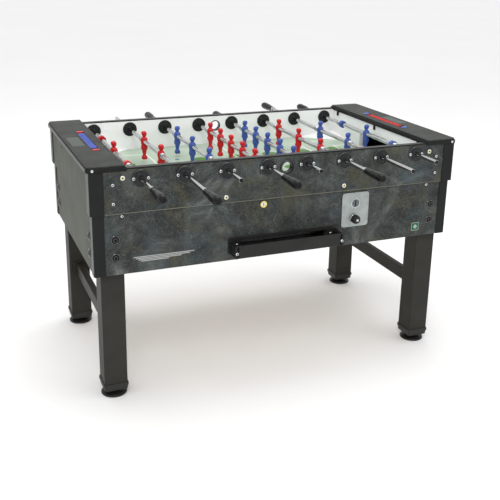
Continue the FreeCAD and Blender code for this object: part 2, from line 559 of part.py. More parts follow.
def make_hinges():
    lower, upper = [], []
    part_long = "(hinge_long/3)"
    for i, x in enumerate(("-hinge_space", "0", "hinge_space")):
        plate = block(f"hinge_block_{i}", (f"{x} - hinge_long/2", LOWER_Y, f"{SEAM_Z} - leaf_tall"),
                      (f"{x} + hinge_long/2", f"{UPPER_Y} + leaf_thick", f"{SEAM_Z} - 1"))
        ears = [drum(f"hinge_ear_{i}_{j}", "knuckle_dia", (start, HINGE_Y, SEAM_Z), f"{part_long} - knuckle_gap", "x")
                for j, start in enumerate((f"{x} - hinge_long/2", f"{x} + hinge_long/2 - {part_long} + knuckle_gap"))]
        space = block(f"hinge_space_{i}", (f"{x} - {part_long}/2 - knuckle_gap", f"{UPPER_Y} - 0.5", f"{SEAM_Z} - knuckle_dia/2 - 2"),
                      (f"{x} + {part_long}/2 + knuckle_gap", f"{UPPER_Y} + knuckle_dia + 1", f"{SEAM_Z} + knuckle_dia"))
        pin = drum(f"hinge_pin_{i}", "hinge_pin", (f"{x} - hinge_long/2 + 2", HINGE_Y, SEAM_Z), "hinge_long - 4", "x")
        body = cut(f"hinge_lower_{i}", fuse(f"hinge_lower_solid_{i}", [plate] + ears), [space])
        lower.append(fuse(f"hinge_half_{i}", [body, pin]))
        leaf = fuse(f"hinge_upper_solid_{i}", [
            block(f"hinge_leaf_{i}", (f"{x} - hinge_long/2", UPPER_Y, f"{SEAM_Z} + knuckle_dia/2 + 1"),
                  (f"{x} + hinge_long/2", f"{UPPER_Y} + leaf_thick", f"{SEAM_Z} + leaf_tall")),
            block(f"hinge_web_{i}", (f"{x} - {part_long}/2", UPPER_Y, f"{SEAM_Z} + 1"),
                  (f"{x} + {part_long}/2", f"{UPPER_Y} + leaf_thick", f"{SEAM_Z} + knuckle_dia")),
            drum(f"hinge_knuckle_{i}", "knuckle_dia", (f"{x} - {part_long}/2", HINGE_Y, SEAM_Z), part_long, "x")])
        bore = drum(f"hinge_bore_{i}", "hinge_pin + 2*bore_air", (f"{x} - hinge_long/2", HINGE_Y, SEAM_Z), "hinge_long", "x")
        upper.append(cut(f"hinge_upper_{i}", leaf, [bore]))
    node("hinge_blocks", lower)
    node("hinge_leaves", upper)


# ---------------------------------------------------------------- play box

def rod_x(index):
    return f"({index} - 3.5)*rod_pitch"


def make_side_walls():
    pieces = []
    top = "rod_height + wall_over"
    for side, near, far in (("-y", f"-{UPPER_Y}", f"-{INNER_Y}"), ("y", INNER_Y, UPPER_Y)):
        tag = "near" if side == "-y" else "far"
        face = f"-{UPPER_Y}" if side == "-y" else UPPER_Y
        wall = block(f"{tag}_wall_sheet", (f"-{UPPER_X}", near, UPPER_Z), (UPPER_X, far, top))
        way = inward(side)
        tools = drill(f"{tag}_rod_hole", [(rod_x(i), face, "rod_height") for i in range(8)],
                      "barrel_dia + 2*fit_air", "panel_thick", way)
        tools += drill(f"{tag}_entry_hole", [("0", face, "rod_height - entry_drop")], "entry_barrel + 2*fit_air",
                       "panel_thick", way)
        tools += drill(f"{tag}_corner_hole", CORNER_SCREWS[side], "screw_dia + 2*fit_air", "screw_deep + 1", way)
        tools += drill(f"{tag}_plug_hole", PLUGS[side], "screw_dia*1.6 + 2*fit_air", "screw_deep + 1", way)
        tools += drill(f"{tag}_bearing_pilot", [(f"{rod_x(i)} + {dx}", face, "rod_height")
                                                for i in range(8) for dx in both("bearing_screw")],
                       "screw_dia + 2*fit_air", "screw_deep", way)
        for end, (low, high) in (("left", (f"-{UPPER_X}", f"-{BOARD_X}")), ("right", (BOARD_X, UPPER_X))):
            tools.append(block(f"{tag}_notch_{end}", (low, near, BOARD_Z), (high, far, top)))
        pieces.append(cut(f"{tag}_wall", wall, tools))
    node("side_walls", pieces)


def make_upper_end_panels():
    node("upper_end_panels", [
        block("upper_left_panel", (f"-{UPPER_X}", f"-{INNER_Y}", UPPER_Z), (f"-{UPPER_X} + panel_thick", INNER_Y, BOARD_Z)),
        block("upper_right_panel", (f"{UPPER_X} - panel_thick", f"-{INNER_Y}", UPPER_Z), (UPPER_X, INNER_Y, BOARD_Z))])


def make_goal_walls():
    pieces = []
    for tag, low, high in (("left", f"-{GOAL_X} - goal_wall", f"-{GOAL_X}"),
                           ("right", GOAL_X, f"{GOAL_X} + goal_wall")):
        wall = block(f"{tag}_goal_sheet", (low, f"-{INNER_Y}", UPPER_Z), (high, INNER_Y, BOARD_Z))
        round_z = f"{FIELD_Z} + goal_tall - mouth_round"
        mouth = [block(f"{tag}_mouth_low", (low, "-goal_wide/2", FIELD_Z), (high, "goal_wide/2", round_z)),
                 block(f"{tag}_mouth_top", (low, "-goal_wide/2 + mouth_round", FIELD_Z),
                       (high, "goal_wide/2 - mouth_round", f"{FIELD_Z} + goal_tall"))]
        mouth += [drum(f"{tag}_mouth_corner_{i}", "2*mouth_round", (low, y, round_z), "goal_wall", "x")
                  for i, y in enumerate(both("goal_wide/2 - mouth_round"))]
        pieces.append(cut(f"{tag}_goal_wall", wall, mouth))
    node("goal_walls", pieces)


def make_playfield():
    node("playfield", [block("field_board", (f"-{GOAL_X}", f"-{INNER_Y}", f"{FIELD_Z} - field_thick"),
                             (GOAL_X, INNER_Y, FIELD_Z))])


def make_corner_ramps():
    """A low three-sided wedge in each corner that sends a dead ball back into play."""
    ramp = doc.addObject("Part::Feature", "ramp_shape")
    long, wide, rise, edge = (dims.get(n) for n in ("ramp_long", "ramp_wide", "ramp_up", "ramp_edge"))
    low = [FreeCAD.Vector(0, 0, 0), FreeCAD.Vector(-long, 0, 0), FreeCAD.Vector(0, -wide, 0)]
    high = [FreeCAD.Vector(0, 0, rise), FreeCAD.Vector(-long, 0, edge), FreeCAD.Vector(0, -wide, edge)]
    rings = [low[::-1], high, [low[0], low[1], high[1], high[0]], [low[1], low[2], high[2], high[1]],
             [low[2], low[0], high[0], high[2]]]
    faces = [Part.Face(Part.makePolygon(ring + ring[:1])) for ring in rings]
    ramp.Shape = Part.makeSolid(Part.makeShell(faces))
    mirror = doc.addObject("Part::Mirroring", "ramp_mirror")
    mirror.Source = ramp
    mirror.Normal = (1, 0, 0)
    z = FIELD_Z
    node("corner_ramps", [
        copy("ramp_far_right", ramp, (GOAL_X, INNER_Y, z)),
        copy("ramp_near_left", ramp, (f"-{GOAL_X}", f"-{INNER_Y}", z), ((0, 0, 1), 180)),
        copy("ramp_far_left", mirror, (f"-{GOAL_X}", INNER_Y, z)),
        copy("ramp_near_right", mirror, (GOAL_X, f"-{INNER_Y}", z), ((0, 0, 1), 180))])


def make_board():
    """A top board over a goal: bevelled, round-cornered, with the counter's slot and a label's recess."""
    body = doc.addObject("PartDesign::Body", "board_body")
    low, high = BOARD_X, BOARD_END
    side = f"({UPPER_Y} + board_side)"
    plan = outline(body, "board_plan", "XY", [(low, f"-{side}"), (high, f"-{side}"), (high, side), (low, side)])
    slab = pad(body, "board_slab", plan, "board_thick")

    def outer_corner(edge):
        return is_upright(edge) and edge.Vertexes[0].X > slab.Shape.CenterOfMass.x

    rounded = dress(body, "Fillet", "board_corners", slab, outer_corner, "Radius", "board_round")

    def rim(edge):
        top = rounded.Shape.BoundBox
        inner_side = edge.BoundBox.XMax < top.XMin + 1e-6
        return edge.BoundBox.ZMin > top.ZMax - 1e-6 and not inner_side

    bevelled = dress(body, "Chamfer", "board_rim", rounded, rim, "Size", "board_bevel")
    body.Tip = bevelled
    return body


def board_slots():
    x = f"({BOARD_X} + slot_offset)"
    top = f"{BOARD_Z} + board_thick"
    label = f"({BOARD_X} + label_offset)"
    return [block("counter_slot", (f"{x} - slot_wide/2", "-slot_long/2", f"{top} - slot_deep"),
                  (f"{x} + slot_wide/2", "slot_long/2", f"{top} + 1")),
            block("label_recess", (f"{label} - label_wide/2", "-label_long/2", f"{top} - label_deep"),
                  (f"{label} + label_wide/2", "label_long/2", f"{top} + 1"))]


def make_score_boards():
    blank = copy("board_blank", make_board(), ("0", "0", BOARD_Z))
    board = cut("board_shape", blank, board_slots())
    x = f"({BOARD_X} + slot_offset)"
    floor = f"{BOARD_Z} + board_thick - slot_deep"
    ends = [block(f"counter_end_{i}", (f"{x} - bead_wide/2", low, floor), (f"{x} + bead_wide/2", high, f"{floor} + slot_deep + bead_proud"))
            for i, (low, high) in enumerate((("-slot_long/2", "-slot_long/2 + stop_long"),
                                             ("slot_long/2 - stop_long", "slot_long/2")))]
    tabs = [block(f"board_tab_{i}", (f"{GOAL_X} - tab_thick - 0.3", f"{y} - tab_wide/2", f"{BOARD_Z} - tab_tall"),
                  (f"{GOAL_X} - 0.3", f"{y} + tab_wide/2", BOARD_Z))
            for i, y in enumerate((f"-{INNER_Y} + tab_inset", "0", f"{INNER_Y} - tab_inset"))]
    right = group("right_board_set", [board] + ends + tabs)
    left = copy("left_board_set", right, ("0", "0", "0"), ((0, 0, 1), 180))
    node("score_boards", [right, left])


def make_beads(name, sign):
    """The row of counting beads of one board, side by side in the slot; sign is the board's end."""
    x = f"{sign}({BOARD_X} + slot_offset)"
    floor = f"{BOARD_Z} + board_thick - slot_deep + bead_air/2"
    pieces = []
    for i in range(10):
        centre = f"(({i} - 4.5)*bead_pitch + bead_rest)"
        half = "(bead_pitch - bead_gap)/2"
        pieces.append(block(f"{name}_{i}", (f"{x} - bead_wide/2", f"{centre} - {half}", floor),
                            (f"{x} + bead_wide/2", f"{centre} + {half}", f"{floor} + slot_deep + bead_proud - bead_air")))
    node(name, pieces)


def make_bearing():
    """Outer flange with its barrel; its face against the wall is z = 0 and the flange is above."""
    solid = fuse("bearing_solid", [
        drum("bearing_flange", "flange_dia", ("0", "0", "0"), "flange_thick"),
        taper("bearing_boss", "boss_dia", "boss_dia*0.75", ("0", "0", "flange_thick"), "boss_proud"),
        drum("bearing_barrel", "barrel_dia", ("0", "0", "-panel_thick"), "panel_thick + 1")])
    holes = [drum("bearing_bore", "rod_dia + 2*bore_air", ("0", "0", "-panel_thick - 1"),
                  "panel_thick + flange_thick + boss_proud + 2")]
    holes += [drum(f"bearing_hole_{i}", "screw_dia + 2*fit_air", (dx, "0", "0"), "flange_thick")
              for i, dx in enumerate(both("bearing_screw"))]
    return cut("bearing_shape", solid, holes)


def make_bearing_cap():
    solid = drum("cap_disc", "cap_dia", ("0", "0", "-cap_thick"), "cap_thick")
    return cut("cap_shape", solid, [drum("cap_bore", "rod_dia + 2*bore_air", ("0", "0", "-cap_thick - 1"), "cap_thick + 2")])


def make_entry_ring():
    solid = fuse("entry_solid", [
        drum("entry_flange", "entry_dia", ("0", "0", "0"), "entry_thick"),
        drum("entry_tube", "entry_barrel", ("0", "0", "-panel_thick"), "panel_thick + 1")])
    return cut("entry_shape", solid, [drum("entry_hole", "entry_bore", ("0", "0", "-panel_thick - 1"),
                                           "panel_thick + entry_thick + 2")])


def make_rod_bearings():
    bearing, cap, ring = make_bearing(), make_bearing_cap(), make_entry_ring()
    pieces = []
    for side, face, inner in (("-y", f"-{UPPER_Y}", f"-{INNER_Y}"), ("y", UPPER_Y, INNER_Y)):
        for i in range(8):
            pieces.append(copy(f"bearing_{side[-2:]}{i}", bearing, (rod_x(i), face, "rod_height"), side))
            pieces.append(copy(f"cap_{side[-2:]}{i}", cap, (rod_x(i), inner, "rod_height"), side))
        pieces.append(copy(f"entry_{side[-2:]}", ring, ("0", face, "rod_height - entry_drop"), side))
    node("rod_bearings", pieces)


def make_play_box_screws():
    pieces = []
    for side, face in zip(("-y", "y"), both(UPPER_Y)):
        out = f"{face} - flange_thick" if side == "-y" else f"{face} + flange_thick"
        spots = [(f"{rod_x(i)} + {dx}", out, "rod_height") for i in range(8) for dx in both("bearing_screw")]
        pieces += screws(f"bearing_screw_{len(pieces)}", SCREW, spots, side)
        pieces += screws(f"corner_screw_{len(pieces)}", SCREW, CORNER_SCREWS[side], side)
        pieces += screws(f"wall_plug_{len(pieces)}", PLUG, PLUGS[side], side)
    node("play_box_screws", pieces)


# ---------------------------------------------------------------- rods

def half_span(count):
    """From a rod's middle to the outer face of its last figure or stop collar."""
    return {1: "(stop_space + collar_long/2)", 2: "(spacing_two/2 + figure_wide/2)",
            3: "(spacing_three + figure_wide/2)", 5: "(2*spacing_five + figure_wide/2)"}[count]


def travel(count):
    """How far a rod slides either way from the middle."""
    return f"({INNER_Y} - cap_thick - slide_air - buffer_long - buffer_gap - {half_span(count)})"


def make_figure():
    """A player standing on the rod's axis, which is z = 0, moulded in one piece."""
    low = "(foot_drop - foot_tall)"
    solid = fuse("figure_solid", [
        ball("figure_head", "head_dia", ("0", "0", "head_up")),
        drum("figure_neck", "neck_dia", ("0", "0", "0"), "head_up"),
        taper("figure_shoulder", "figure_wide", "figure_wide*0.7", ("0", "0", "chest_up*0.6"), "chest_up*0.4"),
        drum("figure_chest", "figure_wide", ("0", "0", "-chest_down"), "chest_down + chest_up*0.6"),
        taper("figure_legs", "ankle_dia", "hip_dia", ("0", "0", f"-{low}"), f"{low} - chest_down"),
        drum("figure_foot", "foot_dia", ("0", "0", "-foot_drop"), "foot_tall")])
    return cut("figure_shape", solid, [drum("figure_bore", "rod_dia + 2*fit_air", ("0", "-figure_wide", "0"), "2*figure_wide", "y")])


def make_ring(name, dia, length):
    solid = drum(name + "_solid", dia, ("0", f"-({length})/2", "0"), length, "y")
    return cut(name, solid, [drum(name + "_bore", "rod_dia + 2*fit_air", ("0", f"-({length})", "0"), f"2*({length})", "y")])


def make_grip():
    """A handle along +Z from its ferrule at z = 0 to its round end, bored for the rod."""
    straight = "(grip_long - grip_belly/2)"
    solid = fuse("grip_solid", [
        drum("grip_ferrule", "ferrule_dia", ("0", "0", "0"), "ferrule_long"),
        taper("grip_cone", "grip_neck", "grip_belly", ("0", "0", "ferrule_long"), f"{straight} - ferrule_long"),
        ball("grip_end", "grip_belly", ("0", "0", straight))])
    return cut("grip_shape", solid, [drum("grip_bore", "rod_dia + 2*fit_air", ("0", "0", "-1"), "grip_grasp + 1")])


def make_end_cap():
    return fuse("end_cap_shape", [
        taper("end_cap_tip", "rod_dia", "rod_dia*0.7", ("0", "0", "0"), "end_cap_long*0.3"),
        drum("end_cap_plug", "rod_dia - 2*rod_wall - 2*fit_air", ("0", "0", "-end_cap_long"), "end_cap_long + 1")])


def figure_offsets(count):
    if count == 1:
        return ["0"]
    if count == 2:
        return list(both("spacing_two/2"))
    half = count // 2
    return [f"{step}*{SPACING[count]}" for step in range(-half, half + 1)]


def make_rods():
    figure, grip, cap = make_figure(), make_grip(), make_end_cap()
    collar = make_ring("collar_shape", "collar_dia", "collar_long")
    buffer = make_ring("buffer_shape", "buffer_dia", "buffer_long")
    for index, (word, count, side) in enumerate(RODS):
        x, z = rod_x(index), "rod_height"
        rest = f"max(-{travel(count)}; min({travel(count)}; rest_{word}))"
        number = index + 1
        wall = f"({UPPER_Y} + flange_thick + boss_proud)"
        grip_at = f"({wall} + {travel(count)} + grip_gap)"
        bare_at = f"({wall} + {travel(count)} - bare_setback)"
        near, far = (grip_at, bare_at) if side < 0 else (bare_at, grip_at)
        near_end = f"{near} + grip_grasp - 0.3" if side < 0 else near
        far_end = f"{far} + grip_grasp - 0.3" if side > 0 else far
        tube = drum(f"rod_tube_{number}", "rod_dia", (x, f"{rest} - ({near_end})", z), f"({near_end}) + ({far_end})", "y")
        bore = drum(f"rod_bore_{number}", "rod_dia - 2*rod_wall", (x, f"{rest} - ({near_end}) - 1", z),
                    f"({near_end}) + ({far_end}) + 2", "y")
        node(f"rod_{number}", [cut(f"rod_shape_{number}", tube, [bore])])
        men = [copy(f"figure_{number}_{i}", figure, (x, f"{rest} + {offset}", z))
               for i, offset in enumerate(figure_offsets(count))]
        if count == 1:
            men += [copy(f"collar_{number}_{i}", collar, (x, f"{rest} + {offset}", z))
                    for i, offset in enumerate(both("stop_space"))]
        node(f"men_{number}", men)
        way, other = ("-y", "y") if side < 0 else ("y", "-y")
        sign, back = ("-", "+") if side < 0 else ("+", "-")
        node(f"grip_{number}", [copy(f"handle_{number}", grip, (x, f"{rest} {sign} {grip_at}", z), way),
                                copy(f"rod_cap_{number}", cap, (x, f"{rest} {back} {bare_at}", z), other)])
        spot = f"({half_span(count)} + buffer_gap + buffer_long/2)"
        node(f"buffers_{number}", [copy(f"buffer_{number}_{i}", buffer, (x, f"{rest} + {offset}", z))
                                   for i, offset in enumerate(both(spot))])


# ---------------------------------------------------------------- build and write

def build():
    make_lower_side_panels()
    make_lower_end_panels()
    make_cabinet_floor()
    lower = make_corner_profile("lower_profile", "profile_lower", "lower_tall")
    node("lower_corner_profiles", four_corners("lower_corner", lower, LOWER_X, LOWER_Y, LOWER_Z))
    make_legs()
    make_leg_ends()
    make_leg_bolts()
    make_ball_tray()
    make_base_screws()
    make_coin_unit()
    make_coin_knob()
    make_ball_return()
    make_ball_gate()
    make_cabinet_lock()
    make_hinges()
    make_side_walls()
    make_upper_end_panels()
    make_goal_walls()
    make_playfield()
    make_corner_ramps()
    upper = make_corner_profile("upper_profile", "profile_upper", f"{BOARD_Z} - {UPPER_Z}")
    node("upper_corner_profiles", four_corners("upper_corner", upper, UPPER_X, UPPER_Y, UPPER_Z))
    make_score_boards()
    make_rod_bearings()
    make_play_box_screws()
    make_beads("red_beads", "")
    make_beads("blue_beads", "-")
    make_rods()


def check_and_write():
    doc.recompute()
    for piece in doc.Objects:
        if {"Invalid", "Error"} & set(piece.State):
            raise RuntimeError(f"{piece.Label} did not build: {piece.State}")
    for piece in nodes:
        shape = Part.getShape(piece)
        if shape.isNull() or not shape.isValid() or not shape.Solids:
            raise RuntimeError(f"{piece.Label} has no sound solid")
    os.makedirs("parts", exist_ok=True)
    for piece in nodes:
        Part.getShape(piece).exportStep(f"parts/{piece.Label}.step")
    print(len(nodes), "nodes written")


build()
check_and_write()
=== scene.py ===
import math

import bmesh
import bpy
from mathutils import Matrix, Vector


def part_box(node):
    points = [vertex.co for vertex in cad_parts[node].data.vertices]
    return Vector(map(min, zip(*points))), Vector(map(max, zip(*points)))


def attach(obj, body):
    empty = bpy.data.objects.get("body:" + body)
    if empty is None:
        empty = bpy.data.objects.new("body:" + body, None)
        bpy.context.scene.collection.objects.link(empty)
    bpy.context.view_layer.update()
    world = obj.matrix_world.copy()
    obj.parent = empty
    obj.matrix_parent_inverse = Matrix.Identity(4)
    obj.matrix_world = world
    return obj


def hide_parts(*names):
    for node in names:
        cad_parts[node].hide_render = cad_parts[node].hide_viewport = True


# A coin-operated foosball table.  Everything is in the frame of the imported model: metres, floor at
# z = 0, the coin side towards -Y.  Shapes are worked out in millimetres and scaled when a mesh is made.

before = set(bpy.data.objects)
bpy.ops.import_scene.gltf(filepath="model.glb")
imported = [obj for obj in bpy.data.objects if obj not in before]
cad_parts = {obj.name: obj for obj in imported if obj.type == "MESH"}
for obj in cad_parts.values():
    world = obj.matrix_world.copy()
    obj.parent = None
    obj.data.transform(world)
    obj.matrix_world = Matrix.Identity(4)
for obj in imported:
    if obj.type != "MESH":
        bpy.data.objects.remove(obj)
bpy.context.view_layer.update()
MM = 0.001
AXES = {"z": Matrix(), "-z": Matrix.Rotation(math.pi, 4, "X"), "x": Matrix.Rotation(math.pi / 2, 4, "Y"),
        "-x": Matrix.Rotation(-math.pi / 2, 4, "Y"), "y": Matrix.Rotation(-math.pi / 2, 4, "X"),
        "-y": Matrix.Rotation(math.pi / 2, 4, "X")}


def at(x, y, z, along="z", turn=0.0):
    """A place whose Z points along an axis, turned about it by some degrees."""
    return Matrix.Translation((x, y, z)) @ AXES[along] @ Matrix.Rotation(math.radians(turn), 4, "Z")


def outward(side):
    """The direction along Y that points out of the table on one side."""
    return "y" if side > 0 else "-y"


def link(thing):
    bpy.context.scene.collection.objects.link(thing)


# ------------------------------------------------------------------ shapes, in millimetres

def loft(rings, close_ends=True, loop=False):
    """Skins a stack of rings that all have the same number of points."""
    count = len(rings[0])
    points = [Vector(p) for ring in rings for p in ring]
    faces = []
    total = len(rings)
    for level in range(total if loop else total - 1):
        a, b = level * count, ((level + 1) % total) * count
        faces += [[a + i, a + (i + 1) % count, b + (i + 1) % count, b + i] for i in range(count)]
    if close_ends and not loop:
        faces.append(list(range(count))[::-1])
        faces.append([(total - 1) * count + i for i in range(count)])
    return points, faces


def lathe(profile, sides=40, ring=False):
    """Turns (radius, height) pairs about Z; a ring's profile is closed, another's ends are capped."""
    turns = [(math.cos(2 * math.pi * i / sides), math.sin(2 * math.pi * i / sides)) for i in range(sides)]
    return loft([[(r * c, r * s, z) for c, s in turns] for r, z in profile], not ring, ring)


def rounded(width, depth, radius, z=0.0, steps=4):
    """A rounded rectangle's outline about the origin."""
    x, y = width / 2 - radius, depth / 2 - radius
    ring = []
    for cx, cy, start in ((x, y, 0), (-x, y, 90), (-x, -y, 180), (x, -y, 270)):
        for i in range(steps + 1):
            angle = math.radians(start + 90 * i / steps)
            ring.append((cx + radius * math.cos(angle), cy + radius * math.sin(angle), z))
    return ring


def round_outline(radius, steps=32):
    return [(radius * math.cos(2 * math.pi * i / steps), radius * math.sin(2 * math.pi * i / steps), 0)
            for i in range(steps)]


def soft_block(low, high, radius=1.0, corner=None):
    """A block between two corners with rounded edges."""
    low, high = Vector(low), Vector(high)
    size, mid = high - low, (high + low) / 2
    corner = radius if corner is None else corner
    rings = []
    for inset, z in ((radius, low.z), (radius * 0.3, low.z + radius * 0.3), (0, low.z + radius),
                     (0, high.z - radius), (radius * 0.3, high.z - radius * 0.3), (radius, high.z)):
        ring = rounded(size.x - 2 * inset, size.y - 2 * inset, max(corner - inset, 0.05))
        rings.append([(mid.x + x, mid.y + y, z) for x, y, _ in ring])
    return loft(rings)


def plate(outline, thickness, edge=0.6, holes=(), edge_steps=2):
    """A flat plate from z = 0 to its thickness, with holes and rounded edges."""
    curve = bpy.data.curves.new("outline", "CURVE")
    curve.dimensions = "2D"
    curve.fill_mode = "BOTH"
    for loop in [outline] + list(holes):
        spline = curve.splines.new("POLY")
        spline.points.add(len(loop) - 1)
        for point, (x, y, *_) in zip(spline.points, loop):
            point.co = (x, y, 0, 1)
        spline.use_cyclic_u = True
    curve.extrude = thickness / 2 - edge
    curve.bevel_depth = edge
    curve.bevel_resolution = edge_steps
    curve.offset = -edge
    holder = bpy.data.objects.new("outline", curve)
    link(holder)
    mesh = bpy.data.meshes.new_from_object(holder.evaluated_get(bpy.context.evaluated_depsgraph_get()))
    points = [v.co + Vector((0, 0, thickness / 2)) for v in mesh.vertices]
    faces = [list(p.vertices) for p in mesh.polygons]
    bpy.data.objects.remove(holder)
    bpy.data.curves.remove(curve)
    bpy.data.meshes.remove(mesh)
    return points, faces


def shift(points, dx=0.0, dy=0.0):
    return [(x + dx, y + dy, 0) for x, y, *_ in points]


def wire(path, radius, sides=8):
    """A round wire along a list of points."""
    rings = []
    for i, point in enumerate(path):
        ahead = Vector(path[min(i + 1, len(path) - 1)]) - Vector(path[max(i - 1, 0)])
        across = ahead.cross(Vector((0, 0, 1)) if abs(ahead.z) < 0.9 * ahead.length else Vector((1, 0,
                0))).normalized()
        other = ahead.cross(across).normalized()
        rings.append([Vector(point) + radius * (across * math.cos(a) + other * math.sin(a))
                      for a in (2 * math.pi * s / sides for s in range(sides))])
    return loft(rings)


def strip(profile, start, end):
    """A (y, z) outline pulled along X."""
    return loft([[(x, y, z) for y, z in profile] for x in (start, end)])


class Piece:
    """Collects the shapes of one piece, each with one of its finishes."""

    def __init__(self, name, body, slot, *finishes):
        self.name, self.body, self.slot, self.finishes = name, body, slot, finishes
        self.points, self.faces, self.parts = [], [], []

    def add(self, shape, where=Matrix(), part=0):
        points, faces = shape
        start = len(self.points)
        self.points += [where @ Vector(p) for p in points]
        self.faces += [[start + i for i in face] for face in faces]
        self.parts += [part] * len(faces)
        return self

    def done(self, *nodes, crease=38, smooth_levels=0, weighted=True):
        mesh = bpy.data.meshes.new(self.name)
        mesh.from_pydata([p * MM for p in self.points], [], self.faces)
        for finish in self.finishes:
            mesh.materials.append(finish)
        mesh.polygons.foreach_set("material_index", self.parts)
        work = bmesh.new()
        work.from_mesh(mesh)
        bmesh.ops.remove_doubles(work, verts=work.verts, dist=2e-6)
        bmesh.ops.recalc_face_normals(work, faces=work.faces)
        work.to_mesh(mesh)
        work.free()
        mesh.polygons.foreach_set("use_smooth", [True] * len(mesh.polygons))
        mesh.set_sharp_from_angle(angle=math.radians(crease))
        piece = bpy.data.objects.new(self.name, mesh)
        link(piece)
        if smooth_levels:
            rounding = piece.modifiers.new("rounding", "SUBSURF")
            rounding.levels = rounding.render_levels = smooth_levels
        if weighted and not smooth_levels:
            piece.modifiers.new("even_shading", "WEIGHTED_NORMAL").keep_sharp = True
        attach(piece, self.body)
        if nodes:
            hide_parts(*nodes)
        return piece


# ------------------------------------------------------------------ shader groups

class Network:
    """A short hand for building a node tree."""

    def __init__(self, tree):
        self.tree = tree

    def node(self, kind, inputs=None, **settings):
        made = self.tree.nodes.new("ShaderNode" + kind)
        for name, value in settings.items():
            setattr(made, name, value)
        for name, value in (inputs or {}).items():
            if isinstance(value, bpy.types.NodeSocket):
                self.tree.links.new(value, made.inputs[name])
            else:
                made.inputs[name].default_value = value
        return made

    def math(self, operation, a, b=0.0, clamp=False):
        return self.node("Math", {0: a, 1: b}, operation=operation, use_clamp=clamp).outputs[0]

    def times(self, a, b, clamp=False):
        return self.math("MULTIPLY", a, b, clamp)

    def apart(self, a, b):
        """How far two values are from each other."""
        return self.math("ABSOLUTE", self.math("SUBTRACT", a, b))

    def off_centre(self, vector, axis):
        """How far a point lies from the middle along one axis."""
        return self.math("ABSOLUTE", self.node("SeparateXYZ", {0: vector}).outputs[axis])

    def mix(self, factor, a, b):
        made = self.node("Mix", {0: factor}, data_type="RGBA")
        for index, value in ((6, a), (7, b)):
            if isinstance(value, bpy.types.NodeSocket):
                self.tree.links.new(value, made.inputs[index])
            else:
                made.inputs[index].default_value = (*value, 1)
        return made.outputs[2]

    def noise(self, vector, scale, detail=4.0, rough=0.55, distortion=0.0):
        return self.node("TexNoise", {"Vector": vector, "Scale": scale, "Detail": detail,
                                      "Roughness": rough,
                                      "Distortion": distortion}).outputs["Fac"]

    def ramp(self, value, *stops):
        made = self.node("ValToRGB", {"Fac": value})
        band = made.color_ramp
        while len(band.elements) < len(stops):
            band.elements.new(0.5)
        for element, (position, colour) in zip(band.elements, stops):
            element.position = position
            element.color = (*colour, 1)
        return made.outputs["Color"]

    def level(self, value, low, high):
        return self.node("MapRange", {"Value": value, "From Min": low, "From Max": high}).outputs["Result"]

    def place(self):
        return self.node("TexCoord").outputs["Object"]


def group(name, inputs, outputs, build):
    tree = bpy.data.node_groups.new(name, "ShaderNodeTree")
    for label, kind, value in inputs:
        socket = tree.interface.new_socket(label, in_out="INPUT", socket_type="NodeSocket" + kind)
        if value is not None:
            socket.default_value = value
    for label, kind in outputs:
        tree.interface.new_socket(label, in_out="OUTPUT", socket_type="NodeSocket" + kind)
    net = Network(tree)
    entry, leave = tree.nodes.new("NodeGroupInput"), tree.nodes.new("NodeGroupOutput")
    for label, socket in build(net, entry.outputs).items():
        tree.links.new(socket, leave.inputs[label])
    return tree


def build_grain(net, given):
    """Fine moulded or sprayed texture, with a slow wander of the gloss."""
    fine = net.noise(given["Vector"], given["Scale"], 3)
    slow = net.noise(given["Vector"], 9.0, 3)
    gloss = net.math("ADD", given["Gloss"], net.times(net.math("SUBTRACT", slow, 0.5), given["Wander"]))
    return {"Height": fine, "Roughness": net.math("ADD", gloss, net.times(fine, 0.06), True)}


def build_pale_edge_mask(net, given):
    """Where edges go paler (rubbed wear; on the bearing discs also painted highlight): how far the rounded
    normal leaves the true one, broken by noise.
    """
    soft = net.node("Bevel", {"Radius": given["Width"]}, samples=4).outputs["Normal"]
    true = net.node("NewGeometry").outputs["Normal"]
    facing = net.node("VectorMath", {0: soft, 1: true}, operation="DOT_PRODUCT").outputs["Value"]
    edge = net.times(net.math("SUBTRACT", 1.0, facing), 5.0, True)
    broken = net.level(net.noise(given["Vector"], 160.0, 4), 0.42, 0.62)
    return {"Mask": net.times(edge, broken, True)}


def build_brush(net, given):
    """Long fine scratches along one direction."""
    stretched = net.node("VectorMath", {0: given["Vector"], 1: given["Stretch"]},
                         operation="MULTIPLY").outputs[0]
    lines = net.noise(stretched, 1.0, 5, 0.65)
    return {"Height": lines, "Roughness": net.math("ADD", given["Gloss"], net.times(lines, 0.22), True)}


def build_tint(net, given):
    """Slow uneven colour: the base colour wanders between a darker and a lighter one."""
    cloud = net.noise(given["Vector"], given["Scale"], 5, 0.6, 0.4)
    low = net.node("Mix", {0: given["Amount"], 6: given["Base"], 7: given["Dark"]},
                   data_type="RGBA").outputs[2]
    high = net.node("Mix", {0: given["Amount"], 6: given["Base"], 7: given["Light"]},
                    data_type="RGBA").outputs[2]
    made = net.node("Mix", {0: net.level(cloud, 0.32, 0.68), 6: low, 7: high}, data_type="RGBA")
    return {"Colour": made.outputs[2]}


GRAIN = group("fine_grain", [("Vector", "Vector", None), ("Scale", "Float", 900.0), ("Gloss", "Float", 0.4),
                             ("Wander", "Float", 0.15)], [("Height", "Float"), ("Roughness", "Float")],
                             build_grain)
EDGE_MASK = group("pale_edge_mask", [("Vector", "Vector", None), ("Width", "Float", 0.001)], [("Mask", "Float")],
             build_pale_edge_mask)
BRUSH = group("brushed_lines", [("Vector", "Vector", None), ("Stretch", "Vector", None),
                                ("Gloss", "Float", 0.2)],
              [("Height", "Float"), ("Roughness", "Float")], build_brush)
TINT = group("uneven_colour", [("Vector", "Vector", None), ("Scale", "Float", 8.0),
                               ("Amount", "Float", 1.0),
                               ("Base", "Color", None), ("Dark", "Color", None), ("Light", "Color", None)],
             [("Colour", "Color")], build_tint)


